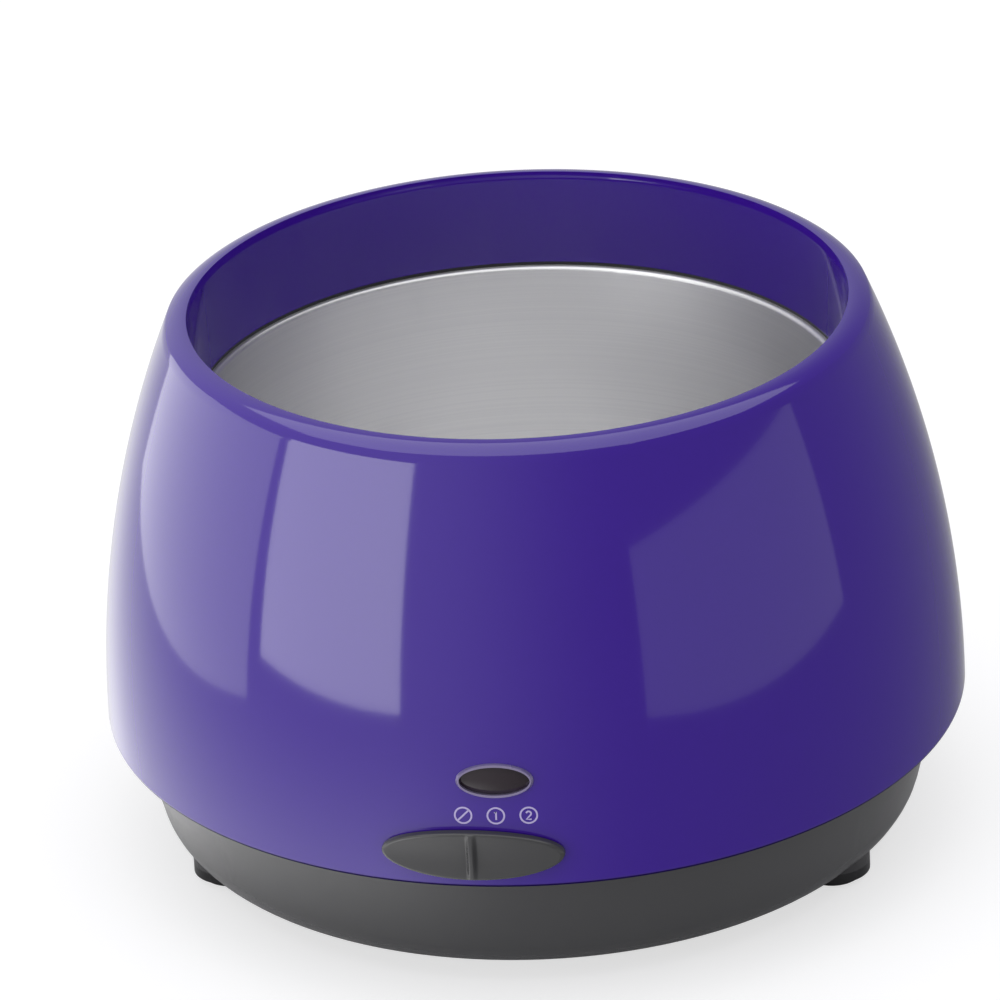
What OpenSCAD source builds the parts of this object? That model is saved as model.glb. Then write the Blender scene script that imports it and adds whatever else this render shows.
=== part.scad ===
/* [Housing] */
// Height of the rim over the table
pot_h = 121; // [116:1:132]
// Height of the skirt's lower edge over the table
seam_h = 30.3; // [29:0.1:32]
// Outer radius of the skirt at its lower edge
skirt_r = 92.6; // [92:0.1:98]
// Wall of the moulded housing and base pan
wall = 2.6; // [2.2:0.1:2.9]
// Radius of the rim's rounded crown
rim_round = 7; // [6.4:0.1:7.6]
// Radius on the rim's inner edge
rim_edge_round = 1.8; // [1:0.1:2.2]
// Radius on the skirt's lower edge
skirt_edge_round = 1; // [0.6:0.1:1.4]
// Wall of the collar that frames the well
collar_wall = 2.2; // [1.8:0.1:2.4]
// Growth of the collar's radius from its foot to the rim
collar_draft = 0.3; // [0.2:0.1:0.5]

/* [Heating well] */
// Inset of the aluminium well's inner wall from the skirt's radius
well_inset = 24.7; // [24.2:0.1:26]
// Height of the well's floor over the skirt's edge
well_rise = 7.7; // [7.2:0.1:9]
// Depth of the well's flange below the rim
rim_drop = 22.1; // [20:0.1:24]
// Sheet of the well
well_wall = 1.2; // [1:0.1:1.5]
// Inner radius of the corner between the well's wall and floor
well_corner = 12; // [9:0.5:14]
// Width of the flange that shows inside the collar
flange_show = 1.4; // [1.2:0.1:2.2]
// Width of the flange under the collar
flange_seat = 4.7; // [4:0.1:5]
// Thickness of the silicone seal under the collar
seal_t = 0.8; // [0.6:0.1:1.2]

/* [Selector] */
// Width of the oval knob
knob_w = 37.9; // [34:0.1:40]
// Height of the oval knob
knob_h = 10.8; // [10:0.1:12]
// Height of the knob's centre over the skirt's edge
knob_rise = 8; // [7.6:0.1:8.5]
// How far the knob stands out of the wall
knob_proud = 2.6; // [2.4:0.1:3]
// Depth of the thumb scoops
scoop_depth = 1.3; // [0.8:0.1:1.5]
// Width of the grip ridge
ridge_w = 1.5; // [1.2:0.1:2.4]
// Turn about the pot's axis from one setting to the next, in degrees
step_angle = 3.2; // [2.8:0.1:4]

/* [Indicator] */
// Height of the window's centre over the skirt's edge
window_rise = 24.2; // [23:0.1:30]
// Width of the bezel
bezel_w = 15.9; // [14:0.1:17]
// Height of the bezel
bezel_h = 7.5; // [7:0.1:8.5]
// Width of the bezel's ring
bezel_ring = 0.7; // [0.6:0.1:1.2]
// How far the bezel stands out of the wall
bezel_proud = 0.6; // [0.4:0.1:0.8]

/* [Base pan] */
// Height of the pan's bottom over the table
foot_gap = 4; // [3.4:0.1:5]
// Step from the skirt's radius in to the pan's upper edge
pan_inset = 5.4; // [5:0.1:6]
// Radius of the pan's lower corner
pan_corner = 10; // [8:0.5:12]
// Lean of the pan's flank, in degrees
pan_lean = 13.9; // [10:0.1:15]
// Inset of the feet's middle from the skirt's radius
foot_inset = 21.1; // [20.5:0.1:22.5]
// Radius of a foot's moulded boss
foot_boss_r = 8; // [7:0.1:8.5]
// Width of the vent slots
vent_w = 2.2; // [1.6:0.1:2.8]
// Number of vent slots
vent_n = 12; // [8:1:16]

/* [Heater] */
// Inset of the mica plates' edge from the well's inner wall
mica_inset = 15.9; // [15:0.1:19]
// Thickness of a mica plate
mica_t = 0.6; // [0.4:0.1:1]
// Space between two turns of the heater ribbon
ribbon_space = 2.2; // [1.8:0.1:3]
// Sheet of the clamp plate
clamp_t = 1; // [0.8:0.1:1.5]
// Radius of a stud
stud_r = 2; // [1.5:0.1:2.2]
// Inset of the heat shield's rim from the well's inner wall
shield_inset = 4.9; // [4:0.1:8]
// Height of the heat shield's rim
shield_rim = 8; // [5:0.5:9]
// Length of the spacers that carry the heat shield
spacer_l = 8.2; // [7:0.1:9]

/* [Hidden] */
$fn = 96;

// Colours
violet = [0.25, 0.13, 0.56];
grey = [0.33, 0.33, 0.34];
satin = [0.72, 0.72, 0.73];
steel = [0.62, 0.63, 0.65];
brass = [0.8, 0.65, 0.3];
mica = [0.78, 0.72, 0.6];
black = [0.07, 0.07, 0.07];

// Shared clearances
overrun = 1;          // how far a cut runs past the solid
fit_gap = 0.1;        // between a piece and the pocket that holds it
slide_gap = 0.3;      // between a moving piece and its neighbours
thread_gap = 0.05;    // between a screw and its pilot hole

// Heights and radii that follow from the driving sizes
flange_z = pot_h - rim_drop;
well_r = skirt_r - well_inset;
well_floor = seam_h + well_rise;
well_under = well_floor - well_wall;
collar_foot_r = well_r + flange_show;
collar_top_r = collar_foot_r + collar_draft;
collar_foot_z = flange_z + seal_t;
flange_round = 0.9;

// The crown is the rim's rounded top; the wall's bulge is one arc that is upright at the seam
crest_in = 0.3;       // from the collar's inner edge to the crown's crest
shoulder_in = 0.25;   // from the crown's widest point in to the wall
crown_r = collar_top_r + crest_in;
crown_z = pot_h - rim_round;
bulge_x = skirt_r - (crown_r + rim_round - shoulder_in);
bulge_z = crown_z - seam_h;
bulge_r = (pow(bulge_x, 2) + pow(bulge_z, 2)) / (2 * bulge_x);
function wall_r(z) = skirt_r - bulge_r + sqrt(pow(bulge_r, 2) - pow(z - seam_h, 2));
function wall_lean(z) = asin((z - seam_h) / bulge_r);

// Base pan: the flank is a cone that leaves the corner's arc at a tangent
pan_top_r = skirt_r - pan_inset;
pan_c_z = foot_gap + pan_corner;
pan_c_r = pan_top_r - pan_corner / cos(pan_lean) - (seam_h - pan_c_z) * tan(pan_lean);
pan_floor = foot_gap + wall;
function pan_r(z, inset) = pan_c_r + (pan_corner - inset) / cos(pan_lean) + (z - pan_c_z) * tan(pan_lean);
groove_h = 0.4;       // the shadow groove's ceiling over the skirt's edge
ledge_z = seam_h + groove_h;
ledge_top = ledge_z + wall;
spigot_gap = 0.4;
spigot_h = 3.2;
spigot_r = skirt_r - wall - spigot_gap;
spigot_top = ledge_top + spigot_h;
spigot_open = 19;     // half angle of the spigot's opening at the switch, in degrees

// Fasteners: the base screws are driven up through towers on the pan into posts of the housing
screw_r = 1.5;
screw_head_r = 2.8;
screw_head_h = 2.2;
cross_w_share = 0.25;
cross_l_share = 1.3;
cross_d_share = 0.5;
tower_angles = [-145, -35, 35, 145];
tower_r = 5;
tower_h = 10.4;
tower_floor = 4;
tower_top = pan_floor + tower_h;
bore_gap = 0.2;
post_r = 4;
post_gap = 0.9;       // from the well's outer wall to a post
tower_ring_r = well_r + well_wall + post_gap + post_r;
post_drop = 8;        // from the well's flange down to where a post has merged with the wall
post_web_w = 2.2;
post_pilot = 14;
base_screw_l = 15;
rib_angles = [-165, -105, -70, 70, 105, 165];
rib_w = 2;
rib_h = 26;
rib_in = 4.6;         // from the skirt's inner face in to a rib's inner edge

// Well screws
well_screw_angles = [0, 90, 180, 270];
well_boss_r = 3.4;
well_boss_bite = 0.5;
well_boss_ring_r = collar_foot_r + collar_wall + well_boss_r - well_boss_bite;
well_boss_h = 14;
well_ear_r = 4;
well_screw_l = 7;

// Selector and switch
knob_z = seam_h + knob_rise;
shoe_t = 2;
shoe_half_h = 4.1;
shoe_half_angle = 7;
tongue_w = 6;
tongue_h = 4.4;
tongue_gap = 0.4;
shoe_r = wall_r(knob_z + shoe_half_h) - wall - tongue_gap;
slot_half_angle = step_angle + atan(tongue_w / 2 / shoe_r) + asin(slide_gap / shoe_r);
knob_crown_r = 30;
knob_crown_share = 2.4;
scoop_r = 18;
scoop_sweep_r = 140;
shoe_screw_r = 1.1;
shoe_screw_l = 5;
shoe_screw_head_r = 2.3;
shoe_screw_head_h = 1.6;
button_w = 5;
button_tip = 2.8;     // from the shoe's inner face to the button's tip
button_bite = 2.6;    // how far the fork's prongs reach along the button
prong_w = 2;
sheet = 0.8;
button_r = shoe_r - shoe_t - button_tip;
prong_r = button_r - button_bite;
fork_r = (button_r + prong_r) / 2;
frame_gap = 1.1;
frame_r = prong_r - frame_gap;
travel = 2 * fork_r * step_angle * PI / 180;
rest_x = -fork_r * step_angle * PI / 180;
frame_half_w = 15.5;
frame_half_h = 6;
frame_depth = 6.2;
ear_half_w = 24.5;
ear_hole_x = 21;
ear_screw_r = 1.25;
ear_screw_l = 5;
pad_w = 7;
wafer_t = 2;
lug_t = 0.6;
lug_h = 3;
lug_l = 5;
lug_pad_w = 2.4;
lug_pitch = travel / 2;
slider_half_w = 7;
slider_half_h = 4;
contact_t = 0.5;
wafer_r = frame_r - frame_depth + wafer_t;
contact_r = wafer_r + lug_t + slide_gap;
detent_t = 0.3;
detent_w = 1.2;
detent_r = 0.8;

// Indicator
window_z = seam_h + window_rise;
bezel_recess = 0.5;
bezel_neck = 4.2;
bezel_step = 0.4;
bezel_face_share = 0.95;
bezel_neck_w = bezel_w - 2 * bezel_step;
bezel_neck_h = bezel_h - 2 * bezel_step;
lens_w = bezel_w - 2 * bezel_ring - 2 * fit_gap;
lens_h = bezel_h - 2 * bezel_ring - 2 * fit_gap;
lens_flange_t = 1;
lens_rise = 0.4;
lens_dome = 6;
lens_dome_share = 1.1;
holder_w = 19;
holder_h = 10;
holder_back = 12;
holder_wall = 1.2;
holder_in = 1;        // from the wall's inner face to the holder's front
rail_t = 1.4;
lamp_r = 1.9;
lamp_l = 5;
lamp_wire_r = 0.6;
lamp_wire_x = 1;

// Heater stack, from the well's floor down
mica_r = well_r - mica_inset;
mica_top = well_under;
ribbon_t = 0.4;
ribbon_z = mica_top - mica_t - ribbon_t;
mica_low = ribbon_z - mica_t;
clamp_z = mica_low - clamp_t;
clamp_inset = 2;
clamp_r = mica_r - clamp_inset;
clamp_lip = 2.4;
thermostat_hole_r = 9.5;
stud_angles = [0, 120, 240];
nut_r = 4;
nut_h = 3.2;
nut_z = clamp_z - nut_h;
spacer_r = 3.4;
shield_r = well_r - shield_inset;
shield_top = nut_z - spacer_l;
shield_t = 0.8;
shield_z = shield_top - shield_t;
shield_nut_z = shield_z - nut_h;
stud_tail = 1.2;
ribbon_first_r = 15.4;
ribbon_edge = 5.4;    // from the mica's edge in to the last ring's middle
ribbon_last = 6;
stud_turn = 4;        // the ring whose place the studs take
ribbon_pitch = (mica_r - ribbon_edge - ribbon_first_r) / ribbon_last;
ribbon_rings = [for (i = [0:ribbon_last]) if (i != stud_turn) i];
ribbon_w = ribbon_pitch - ribbon_space;
ribbon_gap = 5;
stud_ring_r = ribbon_first_r + stud_turn * ribbon_pitch;
terminal_r = 1.2;
terminal_drop = 6;
terminal_head_r = 1.9;
terminal_head_h = 1.5;
terminal_window_r = 2.4;
shield_hatch_w = 20;
shield_hatch_in = 29;
shield_hatch_y = shield_r - shield_hatch_in;
shield_hatch_d = 12;

// Thermostat and fuse
cap_r = 9.2;
cap_h = well_under - clamp_z;
body_r = 8;
body_l = 7;
strap_t = 0.8;
strap_w = 12;
strap_half_l = 19;
strap_screw_x = 14.5;
tab_w = 5;
tab_l = 7;
fuse_r = 2;
fuse_l = 12;
fuse_y = 25;
fuse_lead_r = 0.5;
fuse_lead_l = 3.5;
fuse_z = clamp_z - fuse_r - slide_gap;
clip_t = 0.6;
clip_w = 5;
clip_foot = 6;
clip_screw_y = fuse_y - fuse_r - fit_gap - clip_t - clip_foot / 2;
strap_head_r = 2.2;
strap_head_h = 1.5;

// Cord gland and terminal block
gland_rise = 17.2;
gland_recess = 2.2;
gland_z = foot_gap + gland_rise;
gland_bore_r = 3.5;
gland_neck_r = 5.2;
gland_flange_r = 7.4;
gland_flange_t = 1.6;
gland_lip = 1;
gland_seat = pan_r(gland_z, 0) - gland_recess;
gland_pad_t = 3.6;
gland_pad_r = 8.7;
block_w = 26;
block_d = 14;
block_h = 9;
block_inset = 40.6;
block_y = skirt_r - block_inset;
block_wall = 1.6;
block_pole_x = 7;
block_z = pan_floor + block_wall;
block_bore_r = 2.2;
block_sink = 3;
block_bite = 2.4;
foot_pad_r = 6.5;
foot_pad_round = 1.4;
foot_pocket = 2;
foot_boss_z = 1.8;
foot_ring_r = skirt_r - foot_inset;
foot_angles = [-64.75, 64.75, 180];
vent_in = 24;
vent_l = 18;

// Wire ends and bends
wire_r = 1.1;
wire_bend = 4;
lamp_tail = 4;
feed_x = block_y;
hatch_mid_y = shield_hatch_y + shield_hatch_d / 2;
block_wire_z = block_z + block_h / 2;
fuse_lead_end = fuse_l / 2 + fuse_lead_l + fit_gap;
lug_wire_r = wafer_r - wafer_t - lug_l - fit_gap;
tab_wire_y = body_r + tab_l + fit_gap;
tab_wire_z = clamp_z - body_l - sheet / 2;
terminal_wire_z = ribbon_z - terminal_drop - fit_gap;

// A place on the circle r at an angle from the front, seen from above
module at_front(angle, r, z) {
    rotate([0, 0, angle]) translate([0, -r, z]) children();
}

// Local z points straight out of the housing's wall at the front
module on_wall(z) {
    translate([0, -wall_r(z), z]) rotate([90 - wall_lean(z), 0, 0]) children();
}

// A ring segment centred on the front
module front_segment(r_in, r_out, z_low, z_high, half_angle) {
    rotate([0, 0, -90 - half_angle]) rotate_extrude(angle = 2 * half_angle)
        translate([r_in, z_low]) square([r_out - r_in, z_high - z_low]);
}

module oval(w, h, z_low, z_high) {
    translate([0, 0, z_low]) linear_extrude(z_high - z_low) scale([w / 2, h / 2]) circle(1);
}

module box_between(low, high) {
    translate(low) cube(high - low);
}

module ring(r_in, r_out, z_low, z_high) {
    difference() {
        translate([0, 0, z_low]) cylinder(r = r_out, h = z_high - z_low);
        translate([0, 0, z_low - overrun]) cylinder(r = r_in, h = z_high - z_low + 2 * overrun);
    }
}

// A cross-head screw along +z whose head bears at z = 0
module screw(r, l, head_r, head_h) {
    cross_w = head_r * cross_w_share;
    cross_l = head_r * cross_l_share;
    cross_d = head_h * cross_d_share;
    cylinder(r = r, h = l, $fn = 32);
    difference() {
        translate([0, 0, -head_h]) cylinder(r = head_r, h = head_h, $fn = 32);
        for (turn = [0, 90]) {
            rotate([0, 0, turn]) translate([-cross_l / 2, -cross_w / 2, -head_h - overrun])
                cube([cross_l, cross_w, cross_d + overrun]);
        }
    }
}

module nut(r, h, bore) {
    difference() {
        cylinder(r = r, h = h, $fn = 6);
        translate([0, 0, -overrun]) cylinder(r = bore, h = h + 2 * overrun, $fn = 32);
    }
}

// Everything inside the housing's outer face, drawn in by inset
module wall_region(inset) {
    intersection() {
        translate([skirt_r - bulge_r, seam_h]) circle(bulge_r - inset, $fn = 360);
        union() {
            square([skirt_r + overrun, crown_z]);
            translate([crown_r, crown_z]) circle(rim_round - inset);
            translate([0, crown_z]) square([crown_r, rim_round - inset]);
        }
    }
}

module housing_profile() {
    difference() {
        wall_region(0);
        difference() {
            wall_region(wall);
            translate([collar_foot_r, collar_foot_z]) square([collar_wall, rim_drop]);
        }
        polygon([[0, 0], [collar_foot_r, 0], [collar_foot_r, collar_foot_z],
            [collar_top_r, pot_h], [collar_top_r, pot_h + overrun], [0, pot_h + overrun]]);
        square([skirt_r + overrun, seam_h]);
        difference() {
            translate([collar_foot_r, pot_h - rim_edge_round])
                square([collar_draft + rim_edge_round, rim_edge_round + overrun]);
            translate([collar_top_r + rim_edge_round, pot_h - rim_edge_round]) circle(rim_edge_round);
        }
        difference() {
            translate([skirt_r - skirt_edge_round, seam_h - overrun])
                square([skirt_edge_round + overrun, skirt_edge_round + overrun]);
            translate([skirt_r - skirt_edge_round, seam_h + skirt_edge_round]) circle(skirt_edge_round);
        }
    }
}

// Posts, webs, ribs, bosses and pads, before they are trimmed to the wall
module housing_inside() {
    post_top = flange_z - post_drop;
    for (angle = tower_angles) {
        at_front(angle, tower_ring_r, tower_top) cylinder(r = post_r, h = post_top - tower_top);
        rotate([0, 0, angle])
            box_between([-post_web_w / 2, -skirt_r, spigot_top + slide_gap],
                [post_web_w / 2, -tower_ring_r, post_top]);
    }
    for (angle = rib_angles) rotate([0, 0, angle]) translate([rib_w / 2, 0, 0]) rotate([90, 0, -90])
        linear_extrude(rib_w) polygon([
            [skirt_r - wall - rib_in, ledge_top], [spigot_r - wall - spigot_gap, ledge_top],
            [spigot_r - wall - spigot_gap, spigot_top + slide_gap], [skirt_r, spigot_top + slide_gap],
            [skirt_r, ledge_top + rib_h], [wall_r(ledge_top + rib_h) - wall, ledge_top + rib_h]]);
    for (angle = well_screw_angles) {
        at_front(angle, well_boss_ring_r, flange_z) cylinder(r = well_boss_r, h = well_boss_h);
    }
    for (side = [-1, 1]) translate([side * ear_hole_x, 0, 0])
        box_between([-pad_w / 2, -skirt_r, ledge_top + tongue_gap], [pad_w / 2, -frame_r, knob_z + shoe_half_h]);
    on_wall(window_z) for (side = [-1, 1]) translate([0, side * (holder_h / 2 + fit_gap + rail_t / 2), 0])
        box_between([-holder_w / 2, -rail_t / 2, -holder_back + holder_wall], [holder_w / 2, rail_t / 2, 0]);
}

module housing() {
    color(violet) difference() {
        union() {
            rotate_extrude($fn = 180) housing_profile();
            intersection() {
                housing_inside();
                rotate_extrude($fn = 180) wall_region(wall / 2);
            }
        }
        front_segment(shoe_r - shoe_t, skirt_r + overrun, knob_z - tongue_h / 2 - tongue_gap,
            knob_z + tongue_h / 2 + tongue_gap, slot_half_angle);
        on_wall(window_z) {
            oval(bezel_w + 2 * fit_gap, bezel_h + 2 * fit_gap, -bezel_recess, overrun);
            oval(bezel_neck_w + 2 * fit_gap, bezel_neck_h + 2 * fit_gap, -wall - overrun, 0);
        }
        for (angle = tower_angles) {
            at_front(angle, tower_ring_r, tower_top - overrun)
                cylinder(r = screw_r + thread_gap, h = post_pilot + overrun, $fn = 32);
        }
        for (angle = well_screw_angles) {
            at_front(angle, well_boss_ring_r, flange_z - overrun)
                cylinder(r = screw_r + thread_gap, h = well_screw_l + overrun, $fn = 32);
        }
        for (side = [-1, 1]) translate([side * ear_hole_x, -frame_r + overrun, knob_z]) rotate([90, 0, 0])
            cylinder(r = ear_screw_r + thread_gap, h = ear_screw_l + overrun, $fn = 32);
    }
}

// Everything inside the pan's outer face, drawn in by inset, up to a height
module pan_region(inset, top) {
    corner = pan_corner - inset;
    polygon([[0, foot_gap + inset], [pan_c_r, foot_gap + inset],
        [pan_c_r + corner * cos(pan_lean), pan_c_z - corner * sin(pan_lean)], [pan_r(top, inset), top], [0, top]]);
    translate([pan_c_r, pan_c_z]) circle(corner, $fn = 36);
}

module pan_profile() {
    difference() {
        union() {
            pan_region(0, ledge_top);
            translate([pan_r(ledge_z, wall), ledge_z]) square([spigot_r - pan_r(ledge_z, wall), wall]);
            translate([spigot_r - wall, ledge_z]) square([wall, spigot_top - ledge_z]);
        }
        pan_region(wall, spigot_top + overrun);
    }
}

module pan_solid(inset) {
    rotate_extrude($fn = 72) pan_region(inset, ledge_z);
}

// Runs inside the pan's wall, to trim what stands on the floor
module pan_core() {
    corner = pan_corner - wall / 2;
    rotate_extrude($fn = 72) polygon([[0, foot_gap + wall / 2], [pan_c_r, foot_gap + wall / 2],
        [pan_c_r + corner * cos(45), pan_c_z - corner * sin(45)],
        [pan_c_r + corner * cos(pan_lean), pan_c_z - corner * sin(pan_lean)],
        [pan_r(seam_h, wall / 2), seam_h], [0, seam_h]]);
}

module base_pan() {
    color(grey) difference() {
        union() {
            difference() {
                union() {
                    rotate_extrude($fn = 72) pan_profile();
                    for (angle = foot_angles) {
                        at_front(angle, foot_ring_r, foot_boss_z)
                            cylinder(r = foot_boss_r, h = pan_floor + wall - foot_boss_z);
                    }
                }
                pan_solid(wall);
            }
            intersection() {
                union() {
                    for (angle = tower_angles) {
                        at_front(angle, tower_ring_r, foot_gap) cylinder(r = tower_r, h = tower_top - foot_gap);
                    }
                    translate([0, gland_seat - gland_pad_t, gland_z]) rotate([-90, 0, 0])
                        cylinder(r = gland_pad_r, h = gland_pad_t + pan_inset);
                }
                pan_core();
            }
            translate([0, block_y, pan_floor - wall / 2]) cylinder(r = screw_r + wall, h = block_wall + wall / 2);
        }
        for (angle = tower_angles) at_front(angle, tower_ring_r, 0) {
            cylinder(r = screw_head_r + tongue_gap, h = tower_top - tower_floor);
            cylinder(r = screw_r + bore_gap, h = tower_top + overrun, $fn = 32);
        }
        for (angle = foot_angles) {
            at_front(angle, foot_ring_r, 0) cylinder(r = foot_pad_r + fit_gap, h = foot_boss_z + foot_pocket);
        }
        front_segment(spigot_r - wall - overrun, spigot_r + overrun, ledge_top, spigot_top + overrun, spigot_open);
        translate([0, gland_seat, gland_z]) rotate([-90, 0, 0]) {
            cylinder(r = gland_flange_r + bore_gap, h = pan_inset + wall);
            translate([0, 0, -gland_pad_t - overrun])
                cylinder(r = gland_neck_r + fit_gap, h = gland_pad_t + 2 * overrun);
        }
        for (i = [0:vent_n - 1]) rotate([0, 0, (i + 0.5) * 360 / vent_n])
            box_between([-vent_w / 2, vent_in, foot_gap - overrun],
                [vent_w / 2, vent_in + vent_l, pan_floor + overrun]);
        translate([0, block_y, foot_gap + block_wall])
            cylinder(r = screw_r + thread_gap, h = block_h, $fn = 32);
    }
}

// Everything inside the well's inner face, drawn out by grow
module well_region(grow, top) {
    low = well_floor - grow;
    translate([0, low]) square([well_r - well_corner, top - low]);
    translate([0, well_floor + well_corner]) square([well_r + grow, top - well_floor - well_corner]);
    translate([well_r - well_corner, well_floor + well_corner]) circle(well_corner + grow);
}

module heating_well() {
    color(satin) difference() {
        union() {
            rotate_extrude($fn = 180) difference() {
                union() {
                    well_region(well_wall, flange_z);
                    translate([0, flange_z - well_wall])
                        square([collar_foot_r + flange_seat, well_wall]);
                }
                well_region(0, flange_z + overrun);
                difference() {
                    translate([well_r - overrun, flange_z - flange_round])
                        square([flange_round + overrun, flange_round + overrun]);
                    translate([well_r + flange_round, flange_z - flange_round]) circle(flange_round);
                }
            }
            intersection() {
                for (angle = well_screw_angles) {
                    at_front(angle, well_boss_ring_r, flange_z - well_wall) cylinder(r = well_ear_r, h = well_wall);
                }
                translate([0, 0, flange_z - well_wall - overrun])
                    cylinder(r = wall_r(flange_z) - wall - slide_gap, h = well_wall + 2 * overrun);
            }
        }
        for (angle = well_screw_angles) {
            at_front(angle, well_boss_ring_r, flange_z - well_wall - overrun)
                cylinder(r = screw_r + bore_gap, h = well_wall + 2 * overrun, $fn = 32);
        }
    }
}

module well_seal() {
    color(black) ring(collar_foot_r + fit_gap, collar_foot_r + collar_wall - well_boss_bite - fit_gap, flange_z,
        collar_foot_z);
}

module well_screws() {
    color(steel) for (angle = well_screw_angles) {
        at_front(angle, well_boss_ring_r, flange_z - well_wall)
            screw(screw_r, well_screw_l, screw_head_r, screw_head_h);
    }
}

module at_studs(z) {
    for (angle = stud_angles) at_front(angle, stud_ring_r, z) children();
}

module well_studs() {
    color(steel) at_studs(shield_nut_z - stud_tail)
        cylinder(r = stud_r, h = well_under - shield_nut_z + stud_tail, $fn = 32);
}

module stud_holes(z, h) {
    at_studs(z - overrun) cylinder(r = stud_r + bore_gap, h = h + 2 * overrun, $fn = 32);
}

module mica_plate(z) {
    difference() {
        ring(thermostat_hole_r, mica_r, z, z + mica_t);
        stud_holes(z, mica_t);
    }
}

module upper_mica() {
    color(mica) mica_plate(mica_top - mica_t);
}

// Rings that are open at the back and joined there in turn on the left and on the right
function ribbon_ring_r(i) = ribbon_first_r + ribbon_rings[i] * ribbon_pitch;
module heater_ribbon() {
    last = len(ribbon_rings) - 1;
    color(steel) for (i = [0:last]) {
        difference() {
            ring(ribbon_ring_r(i) - ribbon_w / 2, ribbon_ring_r(i) + ribbon_w / 2, ribbon_z, ribbon_z + ribbon_t);
            box_between([-ribbon_gap / 2, 0, ribbon_z - overrun], [ribbon_gap / 2, mica_r, mica_top]);
        }
        link_x = i % 2 == 0 ? ribbon_gap / 2 : -ribbon_gap / 2 - ribbon_w;
        if (i < last) box_between([link_x, ribbon_ring_r(i), ribbon_z],
            [link_x + ribbon_w, ribbon_ring_r(i + 1), ribbon_z + ribbon_t]);
    }
}

// The heater's two ends: the first ring's free end and the last ring's
function terminal_x(end) = (end == 0 || len(ribbon_rings) % 2 == 0 ? -1 : 1) * (ribbon_gap + ribbon_w) / 2;
function terminal_y(end) = end == 0 ? ribbon_ring_r(0) : ribbon_ring_r(len(ribbon_rings) - 1);
module at_terminals(z) {
    for (end = [0, 1]) translate([terminal_x(end), terminal_y(end), z]) children();
}

module lower_mica() {
    color(mica) difference() {
        mica_plate(mica_low);
        at_terminals(mica_low - overrun) cylinder(r = terminal_r + fit_gap, h = mica_t + 2 * overrun, $fn = 32);
    }
}

module heater_terminals() {
    color(brass) at_terminals(ribbon_z - terminal_drop) {
        cylinder(r = terminal_r, h = terminal_drop, $fn = 32);
        cylinder(r = terminal_head_r, h = terminal_head_h, $fn = 32);
    }
}

// The plate's lip turns down round its edge and stiffens it
module clamp_plate() {
    color(steel) difference() {
        union() {
            ring(thermostat_hole_r, clamp_r, clamp_z, mica_low);
            ring(clamp_r - clamp_t, clamp_r, clamp_z - clamp_lip, mica_low);
        }
        stud_holes(clamp_z, clamp_t);
        at_terminals(clamp_z - overrun) cylinder(r = terminal_window_r, h = clamp_t + 2 * overrun, $fn = 32);
        for (side = [-1, 1]) translate([side * strap_screw_x, 0, clamp_z - overrun])
            cylinder(r = ear_screw_r + thread_gap, h = clamp_t + 2 * overrun, $fn = 32);
        translate([0, clip_screw_y, clamp_z - overrun])
            cylinder(r = ear_screw_r + thread_gap, h = clamp_t + 2 * overrun, $fn = 32);
    }
}

module clamp_nuts() {
    color(steel) at_studs(nut_z) nut(nut_r, nut_h, stud_r + thread_gap);
}

module shield_spacers() {
    color(satin) at_studs(shield_top) ring(stud_r + bore_gap, spacer_r, 0, spacer_l);
}

module heat_shield() {
    color(satin) difference() {
        union() {
            translate([0, 0, shield_z]) cylinder(r = shield_r, h = shield_t);
            ring(shield_r - shield_t, shield_r, shield_z, shield_top + shield_rim);
        }
        stud_holes(shield_z, shield_t);
        box_between([-shield_hatch_w / 2, shield_hatch_y, shield_z - overrun],
            [shield_hatch_w / 2, shield_hatch_y + shield_hatch_d, shield_top + overrun]);
    }
}

module shield_nuts() {
    color(steel) at_studs(shield_nut_z) nut(nut_r, nut_h, stud_r + thread_gap);
}

module thermostat_cap() {
    color(satin) translate([0, 0, clamp_z]) cylinder(r = cap_r, h = cap_h);
}

module thermostat_body() {
    color(black) translate([0, 0, clamp_z - body_l]) cylinder(r = body_r, h = body_l);
}

module thermostat_tabs() {
    color(brass) for (side = [-1, 1]) {
        low = clamp_z - body_l - sheet;
        box_between([-tab_w / 2, side > 0 ? body_r / 3 : -body_r - tab_l, low],
            [tab_w / 2, side > 0 ? body_r + tab_l : -body_r / 3, low + sheet]);
    }
}

module thermostat_strap() {
    low = clamp_z - strap_t;
    color(steel) difference() {
        union() {
            box_between([-strap_half_l, -strap_w / 2, low], [strap_half_l, strap_w / 2, clamp_z]);
            translate([0, 0, low]) cylinder(r = body_r + strap_w / 4, h = strap_t);
        }
        translate([0, 0, low - overrun]) cylinder(r = body_r + fit_gap, h = strap_t + 2 * overrun);
        for (side = [-1, 1]) translate([side * strap_screw_x, 0, low - overrun])
            cylinder(r = ear_screw_r + bore_gap, h = strap_t + 2 * overrun, $fn = 32);
    }
}

module thermal_fuse() {
    color(steel) translate([0, fuse_y, fuse_z]) rotate([0, 90, 0]) {
        cylinder(r = fuse_r, h = fuse_l, center = true, $fn = 32);
        cylinder(r = fuse_lead_r, h = fuse_l + 2 * fuse_lead_l, center = true, $fn = 16);
    }
}

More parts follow.
